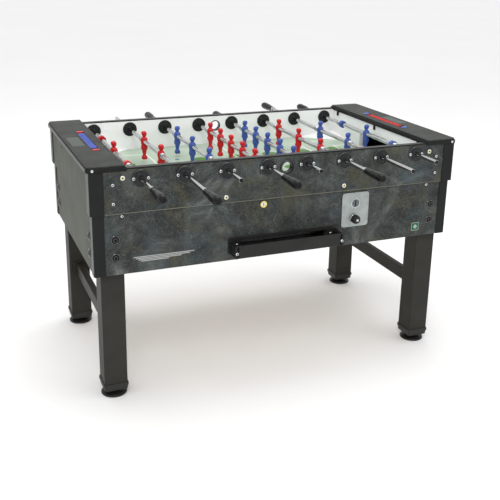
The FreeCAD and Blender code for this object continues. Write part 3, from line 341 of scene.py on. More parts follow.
class Finish:
    """A material under construction, with its Principled shader ready."""

    def __init__(self, name, **fixed):
        self.material = bpy.data.materials.new(name)
        self.material.use_nodes = True
        tree = self.material.node_tree
        self.net = Network(tree)
        self.shader = tree.nodes["Principled BSDF"]
        self.shader.inputs["Specular IOR Level"].default_value = fixed.pop("sheen", 0.2)
        for label, value in fixed.items():
            self.shader.inputs[label.replace("_", " ")].default_value = value
        self.vector = self.net.place()

    def use(self, tree, **values):
        made = self.net.tree.nodes.new("ShaderNodeGroup")
        made.node_tree = tree
        self.net.tree.links.new(self.vector, made.inputs["Vector"])
        for name, value in values.items():
            if isinstance(value, bpy.types.NodeSocket):
                self.net.tree.links.new(value, made.inputs[name])
            else:
                made.inputs[name].default_value = value
        return made.outputs

    def feed(self, name, socket):
        self.net.tree.links.new(socket, self.shader.inputs[name])

    def bump(self, height, depth):
        made = self.net.node("Bump", {"Height": height, "Distance": depth})
        self.feed("Normal", made.outputs["Normal"])

    def skin(self, scale, gloss, wander, depth):
        """A grained surface: it sets the roughness and a shallow bump."""
        grain = self.use(GRAIN, Scale=scale, Gloss=gloss, Wander=wander)
        self.feed("Roughness", grain["Roughness"])
        self.bump(grain["Height"], depth)


def shade(colour, by):
    return (*(max(0.0, c * by) for c in colour), 1)


def moulded(name, colour, gloss=0.42, grain=900.0, depth=0.00006, spread=0.25, pale_edge=None, width=0.0012,
            **fixed):
    """Plastic, paint or rubber: uneven colour, fine grain, and paler edges: rubbed wear, and on the bearing
    discs also painted highlight.
    """
    finish = Finish(name, **fixed)
    tint = finish.use(TINT, Scale=7.0, Base=(*colour, 1), Dark=shade(colour, 1 - spread),
                      Light=shade(colour, 1 + spread))
    colour_out = tint["Colour"]
    if pale_edge:
        mask = finish.use(EDGE_MASK, Width=width)["Mask"]
        colour_out = finish.net.mix(finish.net.times(mask, 0.7), colour_out, pale_edge)
    finish.feed("Base Color", colour_out)
    finish.skin(grain, gloss, 0.12, depth)
    return finish.material


def metal(name, colour, gloss=0.16, stretch=(60.0, 1500.0, 60.0), depth=0.00002, spread=0.08):
    """Metal with fine scratches that run along the short entry of stretch."""
    finish = Finish(name, Metallic=1.0)
    tint = finish.use(TINT, Scale=30.0, Base=(*colour, 1), Dark=shade(colour, 1 - spread),
                      Light=shade(colour, 1 + spread))
    finish.feed("Base Color", tint["Colour"])
    lines = finish.use(BRUSH, Stretch=stretch, Gloss=gloss)
    finish.feed("Roughness", lines["Roughness"])
    finish.bump(lines["Height"], depth)
    return finish.material


def stone_colour(finish):
    """Dark slate: blue-grey, olive and rust clouds with clustered dark scrawls and pale flecks."""
    net, place = finish.net, finish.vector
    cloud = net.noise(place, 8.0, 11, 0.70, 1.0)
    colour = net.ramp(cloud, (0.30, (0.011, 0.012, 0.012)), (0.42, (0.027, 0.031, 0.031)),
                      (0.50, (0.043, 0.048, 0.044)),
                      (0.58, (0.066, 0.077, 0.077)), (0.70, (0.150, 0.160, 0.142)))
    warm = net.level(net.noise(place, 6.0, 8, 0.66, 1.6), 0.50, 0.64)
    colour = net.mix(net.times(warm, 0.5), colour, (0.076, 0.070, 0.038))
    cool = net.level(net.noise(place, 5.0, 8, 0.66, 2.2), 0.52, 0.66)
    colour = net.mix(net.times(cool, 0.55), colour, (0.054, 0.078, 0.090))
    patch = net.level(net.noise(place, 3.4, 4, 0.6, 0.8), 0.44, 0.60)
    for scale, width in ((19.0, 0.030), (41.0, 0.036)):
        scrawl = net.apart(net.noise(place, scale, 8, 0.68, 2.6), 0.5)
        mask = net.times(net.level(scrawl, width, 0.0), patch)
        colour = net.mix(net.times(mask, 0.8), colour, (0.008, 0.009, 0.010))
    vein = net.apart(net.noise(place, 11.0, 6, 0.6, 1.9), 0.5)
    colour = net.mix(net.times(net.level(vein, 0.007, 0.0), 0.4), colour, (0.17, 0.17, 0.145))
    fleck = net.level(net.noise(place, 140.0, 6, 0.74), 0.58, 0.72)
    colour = net.mix(net.times(fleck, 0.5), colour, (0.19, 0.20, 0.18))
    speck = net.level(net.noise(place, 170.0, 4, 0.62), 0.42, 0.33)
    return cloud, fleck, net.mix(net.times(speck, 0.8), colour, (0.012, 0.013, 0.013))


def stone_laminate(name, inner=None):
    """The slate laminate; with an inner limit, the faces nearer the middle than that are white."""
    finish = Finish(name, sheen=0.2)
    net = finish.net
    cloud, fleck, colour = stone_colour(finish)
    if inner:
        y = net.off_centre(finish.vector, "Y")
        pale = finish.use(TINT, Scale=5.0, Base=(0.90, 0.905, 0.90, 1), Dark=(0.87, 0.875, 0.87, 1),
                          Light=(0.92, 0.925, 0.92, 1))
        colour = net.mix(net.level(y, inner + 0.0004, inner + 0.0002), colour, pale["Colour"])
    finish.feed("Base Color", colour)
    finish.feed("Roughness", net.math("ADD", 0.36, net.times(cloud, 0.2)))
    finish.bump(net.math("ADD", cloud, net.times(fleck, 0.3)), 0.0006)
    return finish.material


def end_laminate(name, inner):
    """Olive laminate outside; the panel's face towards the goal pocket is painted near-black as the shade
    inside the pocket.
    """
    finish = Finish(name, sheen=0.05)
    net = finish.net
    x = net.off_centre(finish.vector, "X")
    tint = finish.use(TINT, Scale=6.0, Base=(0.065, 0.071, 0.054, 1), Dark=(0.055, 0.060, 0.045, 1),
                      Light=(0.076, 0.082, 0.063, 1))["Colour"]
    # Faces nearer the middle than the inner limit get painted shade.
    finish.feed("Base Color", net.mix(net.level(x, inner + 0.0004, inner + 0.0002), tint,
                                      (0.008, 0.008, 0.008)))
    finish.skin(700.0, 0.42, 0.12, 0.00008)
    return finish.material


def field_surface():
    """The pale green pitch with its lines and position marks."""
    finish = Finish("pitch_green", sheen=0.12)
    net, place = finish.net, finish.vector
    parts = net.node("SeparateXYZ", {0: place}).outputs
    x, y = parts["X"], parts["Y"]
    ax, ay = net.math("ABSOLUTE", x), net.math("ABSOLUTE", y)

    def line(value, where, half):
        return net.level(net.apart(value, where), half + 0.0006, half)

    def under(value, limit):
        return net.level(value, limit + 0.0006, limit)

    def distance(u, v):
        return net.math("POWER", net.math("ADD", net.times(u, u), net.times(v, v)), 0.5)

    base = finish.use(TINT, Scale=5.0, Amount=1.0, Base=(0.37, 0.45, 0.37, 1), Dark=(0.32, 0.41, 0.32, 1),
                      Light=(0.44, 0.53, 0.43, 1))["Colour"]
    band = net.apart(net.math("FRACT", net.times(x, 1 / 0.3)), 0.5)
    colour = net.mix(net.times(net.level(band, 0.24, 0.26), 0.35), base, (0.46, 0.56, 0.46))
    lane = net.math("SUBTRACT", net.math("FRACT", net.math("ADD", net.times(x, 1 / 0.15), 0.5)), 0.5)
    spot = distance(net.times(lane, 0.15), net.math("SUBTRACT", ay, 0.112))
    colour = net.mix(under(spot, 0.032), colour, (0.07, 0.19, 0.035))
    teal = distance(net.math("SUBTRACT", ax, 0.240), net.math("SUBTRACT", ay, 0.140))
    colour = net.mix(under(teal, 0.0095), colour, (0.03, 0.17, 0.17))
    circle = line(distance(x, y), 0.098, 0.0022)
    middle = line(ax, 0.0, 0.0022)
    box_side = net.times(line(ax, 0.335, 0.0022), under(ay, 0.262))
    box_ends = net.times(line(ay, 0.26, 0.0022), net.level(ax, 0.335, 0.3356))
    small_side = net.times(line(ax, 0.47, 0.0022), under(ay, 0.162))
    small_ends = net.times(line(ay, 0.16, 0.0022), net.level(ax, 0.47, 0.4706))
    marks = circle
    for mark in (middle, box_side, box_ends, small_side, small_ends):
        marks = net.math("MAXIMUM", marks, mark)
    colour = net.mix(net.times(marks, 0.9, True), colour, (0.86, 0.88, 0.85))
    finish.feed("Base Color", colour)
    finish.skin(420.0, 0.28, 0.1, 0.00004)
    return finish.material


def board_surface():
    """Score board top: charcoal laminate with a fine leathery grain and a faint curling pattern."""
    finish = Finish("board_charcoal", sheen=0.05)
    net, place = finish.net, finish.vector
    tint = finish.use(TINT, Scale=14.0, Base=(0.038, 0.040, 0.037, 1), Dark=(0.029, 0.031, 0.028, 1),
                      Light=(0.048, 0.051, 0.047, 1))["Colour"]
    curl = net.apart(net.noise(place, 22.0, 2, 0.4, 3.4), 0.5)
    ends = net.level(net.apart(net.off_centre(place, "Y"), 0.255), 0.055, 0.035)
    mask = net.times(net.level(curl, 0.010, 0.0), net.times(ends, 0.75))
    colour = net.mix(mask, tint, (0.012, 0.012, 0.012))
    pale_edge = finish.use(EDGE_MASK, Width=0.0015)["Mask"]
    finish.feed("Base Color", net.mix(net.times(pale_edge, 0.4), colour, (0.09, 0.094, 0.09)))
    finish.skin(520.0, 0.40, 0.14, 0.00012)
    return finish.material


def span(node):
    """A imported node's lowest and highest corners, in millimetres."""
    low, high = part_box(node)
    return Vector(low) / MM, Vector(high) / MM


# Sizes of the model in millimetres that a node's box doesn't give.
PANEL = 22
SEAM_GAP = 0.5
ROD_R = 8
ROD_RISE = 116
BOARD_RISE = 28
LEG_SIZE = 82
LEG_WALL = 2.5
BOLT_SHIFT = 8
SCREW_REACH = 24.5
ENTRY_DROP = 8
KNOB_DROP = 36
LOCK_X = -85

SLATE = stone_laminate("slate_laminate")
WALL = stone_laminate("slate_outside_white_inside", (span("side_walls")[1].y - PANEL) * MM)
UPPER_END = end_laminate("olive_upper_end", (span("upper_end_panels")[1].x - PANEL) * MM)
LOWER_END = end_laminate("olive_lower_end", (span("lower_end_panels")[1].x - PANEL) * MM)
PITCH = field_surface()
BOARD = board_surface()
CORE = moulded("chipboard_core", (0.42, 0.33, 0.22), 0.75, 300.0, 0.0003, 0.35)
SEAM = moulded("pale_edging", (0.17, 0.165, 0.12), 0.5, 600.0, 0.00008, 0.2)
PROFILE = moulded("black_profile", (0.0115, 0.012, 0.012), 0.30, 1400.0, 0.00003, 0.2, (0.06, 0.06, 0.06),
                  sheen=0.14)
EDGE = moulded("black_edge_band", (0.010, 0.010, 0.0105), 0.28, 900.0, 0.00003, 0.2, (0.06, 0.06, 0.06),
               sheen=0.14)
LEG = moulded("brown_black_coat", (0.034, 0.033, 0.0285), 0.42, 1500.0, 0.00009, 0.14, (0.10, 0.095, 0.08),
              sheen=0.08)
MOULDING = moulded("black_moulding", (0.012, 0.012, 0.012), 0.36, 1300.0, 0.00009, 0.2, (0.06, 0.06, 0.06),
                   sheen=0.25)
BOOT = moulded("boot_moulding", (0.026, 0.026, 0.024), 0.42, 1300.0, 0.00009, 0.2, (0.09, 0.085, 0.08),
               sheen=0.25)
# The bearing discs' edges are lighter and wider than wear alone: painted highlight along the rims as well as
# rubbed wear.
DISC = moulded("bearing_disc", (0.013, 0.014, 0.015), 0.26, 1100.0, 0.00007, 0.2, (0.16, 0.16, 0.16),
               0.0016, sheen=0.25)
SHEET = moulded("black_sheet", (0.017, 0.017, 0.016), 0.36, 1600.0, 0.00005, 0.2, (0.07, 0.07, 0.07),
                sheen=0.2)
WHITE = moulded("white_laminate", (0.90, 0.905, 0.90), 0.34, 600.0, 0.00004, 0.03, (0.6, 0.6, 0.58),
                sheen=0.4)
RED = moulded("red_figure", (0.52, 0.008, 0.012), 0.32, 700.0, 0.00005, 0.12, (0.66, 0.08, 0.07), 0.0008,
              sheen=0.35)
BLUE = moulded("blue_figure", (0.042, 0.088, 0.34), 0.32, 700.0, 0.00005, 0.12, (0.12, 0.20, 0.50), 0.0008,
               sheen=0.35)
RED_BEAD = moulded("red_bead", (0.50, 0.010, 0.010), 0.28, 800.0, 0.00004, 0.12, (0.66, 0.10, 0.08),
                   0.0008, sheen=0.4)
BLUE_BEAD = moulded("blue_bead", (0.060, 0.100, 0.42), 0.28, 800.0, 0.00004, 0.12, (0.16, 0.24, 0.58),
                    0.0008, sheen=0.4)
LABEL = moulded("grey_label", (0.098, 0.112, 0.103), 0.48, 900.0, 0.00004, 0.06, sheen=0.05)
GREEN = moulded("green_badge", (0.004, 0.110, 0.050), 0.28, 900.0, 0.00003, 0.12)
PALE = moulded("pale_print", (0.36, 0.37, 0.36), 0.40, 900.0, 0.00003, 0.10)
# Painted shade: near-black laid into screw recesses, sockets, slots, a groove and a keyway, where shade would
# fall.
RECESS_SHADE = moulded("painted_recess_shade", (0.006, 0.006, 0.006), 0.6, 900.0, 0.00005, 0.3)
GRIP = moulded("grip_rubber", (0.0075, 0.0075, 0.008), 0.20, 900.0, 0.00005, 0.22, (0.04, 0.04, 0.04),
               sheen=0.16)
GLOSS = moulded("gloss_black_rim", (0.010, 0.010, 0.011), 0.08, 900.0, 0.00001, 0.2, sheen=0.9)
SLOT = metal("dark_slot_steel", (0.13, 0.145, 0.16), 0.25, (300.0, 300.0, 300.0), 0.00003)
CHROME = metal("rod_chrome", (0.50, 0.51, 0.51), -0.06, (900.0, 25.0, 900.0), 0.000003)
ZINC = metal("zinc_screw", (0.68, 0.70, 0.70), 0.18, (400.0, 400.0, 400.0), 0.00002)
SPRING = metal("spring_wire", (0.58, 0.59, 0.60), 0.20, (300.0, 300.0, 300.0), 0.00002)
BRASS = metal("polished_brass", (0.78, 0.66, 0.22), 0.16, (300.0, 300.0, 300.0), 0.00002)
NICKEL = metal("nickel_plug", (0.62, 0.56, 0.42), 0.16, (300.0, 300.0, 300.0), 0.00002)
COIN_PLATE = metal("brushed_coin_plate", (0.335, 0.365, 0.355), 0.30, (25.0, 25.0, 1300.0), 0.00004, 0.14)
BLACKENED = moulded("blackened_steel", (0.012, 0.012, 0.013), 0.22, 900.0, 0.00004, 0.2,
                    (0.10, 0.10, 0.10), sheen=0.5)

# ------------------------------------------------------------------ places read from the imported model

RODS = [{"number": k, "x": span(f"rod_{k}")[0].x + ROD_R, "near": k in (1, 2, 4, 6)} for k in range(1, 9)]
ROD_Z = span("rod_1")[0].z + ROD_R
WALL_LOW, WALL_HIGH = span("side_walls")
INNER_Y = WALL_HIGH.y - PANEL
SEAM_Z = WALL_LOW.z - SEAM_GAP
FIELD_Z = span("playfield")[1].z
GOAL_X = span("playfield")[1].x
LOWER_HIGH = span("lower_side_panels")[1]
LEG_LOW, LEG_HIGH = span("leg_frames")
LEG_X, LEG_Y = LEG_HIGH.x - LEG_SIZE / 2, LEG_HIGH.y - LEG_SIZE / 2
BOARD_HIGH = span("score_boards")[1]
BOARD_BASE = SEAM_Z + ROD_RISE + BOARD_RISE
TEAM = {k: (RED, "red_plastic") if k in (1, 2, 4, 6) else (BLUE, "blue_plastic") for k in range(1, 9)}


def paint(finish, *names):
    for name in names:
        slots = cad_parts[name].data.materials
        slots.clear()
        slots.append(finish)


paint(WALL, "side_walls")
paint(SLATE, "lower_side_panels")
paint(UPPER_END, "upper_end_panels")
paint(LOWER_END, "lower_end_panels")
paint(CORE, "cabinet_floor")
paint(SHEET, "ball_ramp")
paint(WHITE, "goal_walls", "corner_ramps")
paint(PITCH, "playfield")
paint(ZINC, "ball_gate")
paint(BLACKENED, "hinge_blocks", "hinge_leaves")


# ------------------------------------------------------------------ fasteners

def pan_head(radius=5.5, height=3.0):
    return lathe([(radius, 0), (radius, height * 0.22), (radius * 0.93, height * 0.55),
                  (radius * 0.72, height * 0.86),
                  (radius * 0.4, height * 0.98), (0.05, height)], 28)


def cross(radius, z):
    """A cross recess, drawn as two bars of painted shade let into the head."""
    wide = radius * 0.2
    arms = [soft_block((-radius * 0.55, -wide, z - 0.8), (radius * 0.55, wide, z), 0.2),
            soft_block((-wide, -radius * 0.55, z - 0.8), (wide, radius * 0.55, z + 0.02), 0.2)]
    return arms


def add_screw(piece, where):
    piece.add(pan_head(), where)
    for bar in cross(5.5, 2.98):
        piece.add(bar, where, 1)


def hexagon(across, turn=0.0):
    return [(across / 2 * math.cos(math.radians(60 * i + turn)),
             across / 2 * math.sin(math.radians(60 * i + turn)), 0)
            for i in range(6)]


def add_plug(piece, where):
    """A wide connector bolt with a hex socket."""
    rim = [(8.5, 0), (8.5, 0.9), (8.1, 1.7), (7.2, 2.5), (6.2, 2.9), (5.2, 2.6), (5.0, 1.0), (5.0, 0)]
    piece.add(lathe(rim, 36, True), where)
    piece.add(plate(round_outline(5.2), 1.9, 0.2, [hexagon(6.0)]), where, 2)
    # A disc of painted shade at the foot of the hex socket.
    piece.add(lathe([(4.0, 0.1), (4.0, 0.3), (0.05, 0.3)], 20), where, 1)


def corner_spots(x, heights):
    return [(sx * x, side, z) for sx in (-1, 1) for side in (-1, 1) for z in heights]


def make_play_box_screws():
    piece = Piece("play_box_fasteners", "play_box", "zinc_steel", ZINC, RECESS_SHADE, BRASS, NICKEL)
    for rod in RODS:
        for side in (-1, 1):
            for dx in (-SCREW_REACH, SCREW_REACH):
                add_screw(piece, at(rod["x"] + dx, side * (WALL_HIGH.y + 4), ROD_Z, outward(side), 20 + dx))
    for x, side, z in corner_spots(WALL_HIGH.x + 3 - 78, (ROD_Z - 16, ROD_Z - 80)):
        add_screw(piece, at(x, side * WALL_HIGH.y, z, outward(side), x + z))
    spots = corner_spots(GOAL_X + 9, (ROD_Z + 5,)) + corner_spots(228, (FIELD_Z - 9,))
    for x, side, z in spots:
        add_plug(piece, at(x, side * WALL_HIGH.y, z, outward(side), 11))
    piece.done("play_box_screws")


def make_base_screws():
    piece = Piece("base_fasteners", "base", "zinc_steel", ZINC, RECESS_SHADE)
    for x, side, z in corner_spots(LOWER_HIGH.x - 96, (SEAM_Z - 10,)):
        add_screw(piece, at(x, side * LOWER_HIGH.y, z, outward(side), x))
    tray_low = span("ball_tray")[0]
    for x in (-185, 185):
        add_screw(piece, at(x, -LOWER_HIGH.y - 3, tray_low.z + 33, "-y", 35))
    for x in (-204, 204):
        add_screw(piece, at(x, tray_low.y, tray_low.z + 20, "-y", 12))
    piece.done("base_screws")


def make_leg_bolts():
    """Socket bolts in wide dished black cups."""
    piece = Piece("leg_bolt_set", "base", "black_steel", GLOSS, RECESS_SHADE, BLACKENED)
    low, high = span("leg_bolts")
    cup_r = 17.0
    top_z, low_z = high.z - cup_r, low.z + cup_r
    inset_x, inset_y = LEG_X - BOLT_SHIFT, LEG_Y - BOLT_SHIFT
    cup = [(cup_r, 0), (cup_r, 0.8), (16.4, 1.9), (14.6, 3.3), (13.0, 4.0), (12.2, 3.9), (11.2, 3.0),
           (10.0, 1.2), (9.4, 0.7),
           (9.2, 0)]
    head = [(9.0, 0.2), (9.0, 3.6), (8.4, 4.9), (7.2, 5.7), (5.6, 6.0), (4.4, 5.7), (4.1, 2.0), (0.05, 2.0)]
    spots = [(sx * inset_x, sy * LOWER_HIGH.y, z, "y" if sy > 0 else "-y")
             for sx in (-1, 1) for sy in (-1, 1) for z in (top_z, low_z)]
    spots += [(sx * LOWER_HIGH.x, sy * inset_y, z, "x" if sx > 0 else "-x")
              for sx in (-1, 1) for sy in (-1, 1) for z in (top_z, low_z)]
    for i, (x, y, z, along) in enumerate(spots):
        where = at(x, y, z, along, 17 * i)
        piece.add(lathe(cup, 48, True), where)
        piece.add(lathe(head, 40), where, 2)
        # A hexagon of painted shade stands for the socket in the head.
        piece.add(lathe([(4.05, 1.9), (4.05, 2.3), (0.05, 2.3)], 6), where, 1)
    piece.done("leg_bolts")


# ------------------------------------------------------------------ cabinet trim

def angle_outline(width, thickness=3.0, corner=7.0):
    """An angle's section with its outer corner at +X, +Y rounded; the inside corner is at 0, 0."""
    w, t = width - thickness, thickness
    arc = [(t - corner + corner * math.cos(a), t - corner + corner * math.sin(a), 0)
           for a in (math.radians(9 * i) for i in range(11))]
    return [(0, -w, 0), (t, -w, 0)] + arc + [(-w, t, 0), (-w, 0, 0), (0, 0, 0)]


def make_corner_profiles():
    for name, body, node, x, y, width in (
            ("upper_corner_angles", "play_box", "upper_corner_profiles", WALL_HIGH.x, WALL_HIGH.y, 48),
            ("lower_corner_angles", "base", "lower_corner_profiles", LOWER_HIGH.x, LOWER_HIGH.y, 39)):
        low, high = span(node)
        piece = Piece(name, body, "black_profile", PROFILE)
        shape = plate(angle_outline(width), high.z - low.z, 0.5)
        for turn, (sx, sy) in ((0, (1, 1)), (90, (-1, 1)), (180, (-1, -1)), (270, (1, -1))):
            piece.add(shape, at(sx * x, sy * y, low.z, "z", turn))
        piece.done(node)


def make_edge_trim():
    """Edge bands on the side walls' tops, and pale edging along the seam below them."""
    caps = Piece("wall_edge_bands", "play_box", "dark_board", EDGE)
    seams = Piece("seam_edging", "play_box", "stone_laminate", SEAM)
    top = WALL_HIGH.z
    for side in (-1, 1):
        mid = side * (WALL_HIGH.y - 11)
        ring = rounded(24.0, 5.0, 1.6, steps=3)
        profile = [(mid + y, top - 1.5 + z) for y, z, _ in ring]
        caps.add(strip(profile, -(GOAL_X - 5.4), GOAL_X - 5.4))
        edge = side * (WALL_HIGH.y + 0.25)
        seams.add(soft_block((-WALL_HIGH.x + 44, min(edge, edge - side * 3), WALL_LOW.z - 0.3),
                             (WALL_HIGH.x - 44, max(edge, edge - side * 3), WALL_LOW.z + 1.6), 0.3))
    caps.done()
    seams.done()


def make_marks():
    """A plain striped mark, a round-cornered badge with a leaf shape, and a small rivet on the end panel."""
    face = -LOWER_HIGH.y
    stripes = Piece("front_stripes", "base", "white_laminate", PALE)
    for i, (start, length) in enumerate(((-557, 214), (-548, 190), (-539, 150), (-530, 96))):
        z = 526 - 5.2 * i
        lean = 4
        shape = plate([(start, z - 3.4, 0), (start + length, z - 3.4, 0), (start + length + lean, z, 0),
                       (start + lean, z, 0)],
                      0.4, 0.1)
        stripes.add(shape, at(0, face - 0.35, 0, "-y") @ Matrix.Translation((0, 0, -0.05)))
    stripes.done()
    badge = Piece("green_badge_plate", "base", "green_field", GREEN, PALE)
    where = at(553, face + 0.1, 509, "-y")
    badge.add(plate(rounded(32, 32, 3), 0.8, 0.2), where, 1)
    badge.add(plate(rounded(28, 28, 2), 1.2, 0.2), where)
    leaf = [(8 * math.cos(a) * (0.55 + 0.45 * math.cos(2 * a)), 9 * math.sin(a), 0) for a in
            (math.radians(15 * i) for i in range(24))]
    badge.add(plate([(x, y, 0) for x, y, _ in leaf], 1.5, 0.1), where, 1)
    badge.done()
    rivet = Piece("end_panel_rivet", "play_box", "black_steel", BLACKENED)
    rivet.add(lathe([(3.6, 0), (3.6, 0.6), (2.8, 1.3), (0.05, 1.6)], 24),
              at(-WALL_HIGH.x, 132, ROD_Z - 1, "-x"))
    rivet.done()


# ------------------------------------------------------------------ score boards

def make_boards():
    inner, outer, half_y = GOAL_X - 5, BOARD_HIGH.x, BOARD_HIGH.y
    corner = 17.0

    def outline(inset=0.0):
        ring = [(inner + inset, -half_y + inset, 0)]
        radius = corner - inset
        for cy, start in ((-half_y + corner, 270), (half_y - corner, 0)):
            for i in range(7):
                a = math.radians(start + 15 * i)
                ring.append((outer - corner + radius * math.cos(a), cy + radius * math.sin(a), 0))
        ring.append((inner + inset, half_y - inset, 0))
        return ring

    slot_x = inner + 49
    label_x = inner + 93
    slot = shift(rounded(29.5, 318, 2.5), slot_x)
    label_hole = shift(rounded(45, 149, 1.5), label_x)
    for sign, tag, team, bead, other, end in ((1, "right", "red", RED_BEAD, "blue", BLUE_BEAD),
                                              (-1, "left", "blue", BLUE_BEAD, "red", RED_BEAD)):
        turn = Matrix.Rotation(0 if sign > 0 else math.pi, 4, "Z")
        board = Piece(f"{tag}_score_board", "play_box", "dark_board", BOARD, EDGE, RECESS_SHADE, LABEL)
        base = turn @ Matrix.Translation((0, 0, BOARD_BASE))
        board.add(plate(outline(), 14.5, 2.4, edge_steps=3), base, 1)
        board.add(plate(outline(4.2), 5.3, 1.0, [slot, label_hole]),
                  base @ Matrix.Translation((0, 0, 14.6)))
        board.add(plate(shift(rounded(45.5, 150, 1), label_x), 4.3, 0.3),
                  base @ Matrix.Translation((0, 0, 14.7)), 3)
        # A sheet of painted shade under the bead slot.
        board.add(plate(shift(rounded(31, 320, 1), slot_x), 0.5, 0.1),
                  base @ Matrix.Translation((0, 0, 14.4)), 2)
        # A thin ring of painted shade stands for a groove round the top.
        groove_shade = plate(outline(11.5), 0.36, 0.08, [outline(12.6)])
        board.add(groove_shade, base @ Matrix.Translation((0, 0, 19.68)), 2)
        for y in (-INNER_Y + 42, 0, INNER_Y - 42):
            board.add(soft_block((GOAL_X - 5.3, y - 6, -18), (GOAL_X - 0.3, y + 6, 0.5), 1.2), base, 1)
        rail = [(slot_x - 14.6, 19.4), (slot_x - 14.6, 20.3), (slot_x - 13.2, 20.3), (slot_x - 13.2, 15)]
        for section in (rail, [(2 * slot_x - x, z) for x, z in rail]):
            board.add(loft([[(x, y, z) for x, z in section] for y in (-158, 158)]), base, 1)
        board.done("score_boards") if sign > 0 else board.done()
        ends = Piece(f"{tag}_slot_ends", "play_box", f"{other}_plastic", end)
        for y0, y1 in ((-157.7, -141.2), (141.2, 157.7)):
            ends.add(soft_block((slot_x - 12.3, y0, 15), (slot_x + 12.3, y1, 21.8), 2.0, 3), base)
        ends.done()
        beads = Piece(f"{tag}_bead_row", f"{team}_beads", f"{team}_plastic", bead, RECESS_SHADE)
        for i in range(10):
            y = (i - 4.5) * 24 + 4 * sign
            beads.add(soft_block((slot_x - 12.3, y - 11.6, 15.2), (slot_x + 12.3, y + 11.6, 19.6), 1.6,
                                 2.4), base)
            for rib in (-1, 0, 1):
                beads.add(soft_block((slot_x - 10.5, y + 6.4 * rib - 1.5, 18),
                                     (slot_x + 10.5, y + 6.4 * rib + 1.5, 21.2), 1.1), base)
        beads.done(f"{team}_beads")
        screw = Piece(f"{tag}_board_screws", "play_box", "zinc_steel", ZINC, RECESS_SHADE)
        for side in (-1, 1):
            spot = at(outer - corner - 4, side * half_y, 8, outward(side))
            screw.add(lathe([(4.6, -0.6), (4.6, 0.2), (3.9, 1.0), (0.05, 1.5)], 24), base @ spot)
            screw.add(soft_block((-2.4, -0.5, 0.8), (2.4, 0.5, 1.56), 0.2), base @ spot, 1)
        screw.done()


# ------------------------------------------------------------------ bearings

def make_bearings():
    flange = [(31, 0), (31, 2.2), (30.4, 3.3), (29.2, 4.0), (27.8, 4.0), (27.0, 3.2), (19.8, 3.0),
              (18.8, 3.6), (18.2, 5.2),
              (17.0, 6.6), (14.0, 7.4), (12.5, 7.9), (9.6, 8.0), (8.3, 7.2), (8.15, 0)]
    disc = [(29, 0), (29, 2.6), (28, 3.7), (26.4, 4.0), (23.6, 3.4), (22.9, 2.4), (22.2, 2.4), (21.5, 3.4),
            (19.8, 3.9),
            (17.2, 3.6), (16.4, 2.6), (15.7, 2.6), (15.0, 3.5), (13.4, 3.9), (11.2, 3.9), (10.2, 3.0),
            (9.4, 3.0),
            (8.9, 3.6), (8.2, 3.4), (8.2, 0)]
    entry = [(29, 0), (29, 2.4), (28, 3.6), (26.4, 4.0), (23.4, 3.3), (21.0, 1.6), (19.6, -2.0),
             (18.4, -21.6), (18.6, -22), (22.9, -22),
             (22.9, -0.1)]
    rim = [(29.6, 3.0), (29.9, 3.9), (29.4, 4.7), (28.5, 4.95), (27.6, 4.7), (27.1, 3.9), (27.4, 3.0)]
    piece = Piece("bearing_set", "play_box", "black_moulding", DISC, GLOSS)
    for side in (-1, 1):
        out, into = outward(side), outward(-side)
        for rod in RODS:
            piece.add(lathe(flange, 56, True), at(rod["x"], side * WALL_HIGH.y, ROD_Z, out))
            piece.add(lathe(rim, 56, True), at(rod["x"], side * WALL_HIGH.y, ROD_Z, out), 1)
            for dx in (-SCREW_REACH, SCREW_REACH):
                pad = lathe([(7.0, 2.6), (7.0, 3.5), (6.3, 4.0), (0.05, 4.0)], 28)
                piece.add(pad, at(rod["x"] + dx, side * WALL_HIGH.y, ROD_Z, out))
            piece.add(lathe(disc, 56, True), at(rod["x"], side * INNER_Y, ROD_Z, into))
        piece.add(lathe(entry, 56, True), at(0, side * WALL_HIGH.y, ROD_Z - ENTRY_DROP, out))
        piece.add(lathe([(r - 2.2, z) for r, z in rim], 56, True),
                  at(0, side * WALL_HIGH.y, ROD_Z - ENTRY_DROP, out), 1)
    piece.done("rod_bearings")


# ------------------------------------------------------------------ rods, figures and grips

def oval(rx, ry, z, dx=0.0, sides=16, square=0.0):
    """A ring for a figure; square pushes it from an ellipse towards a rounded box."""
    ring = []
    for i in range(sides):
        a = 2 * math.pi * i / sides
        c, s = math.cos(a), math.sin(a)
        stretch = 1 + square * abs(math.sin(2 * a)) * 0.34
        ring.append((dx + rx * c * stretch, ry * s * stretch, z))
    return ring


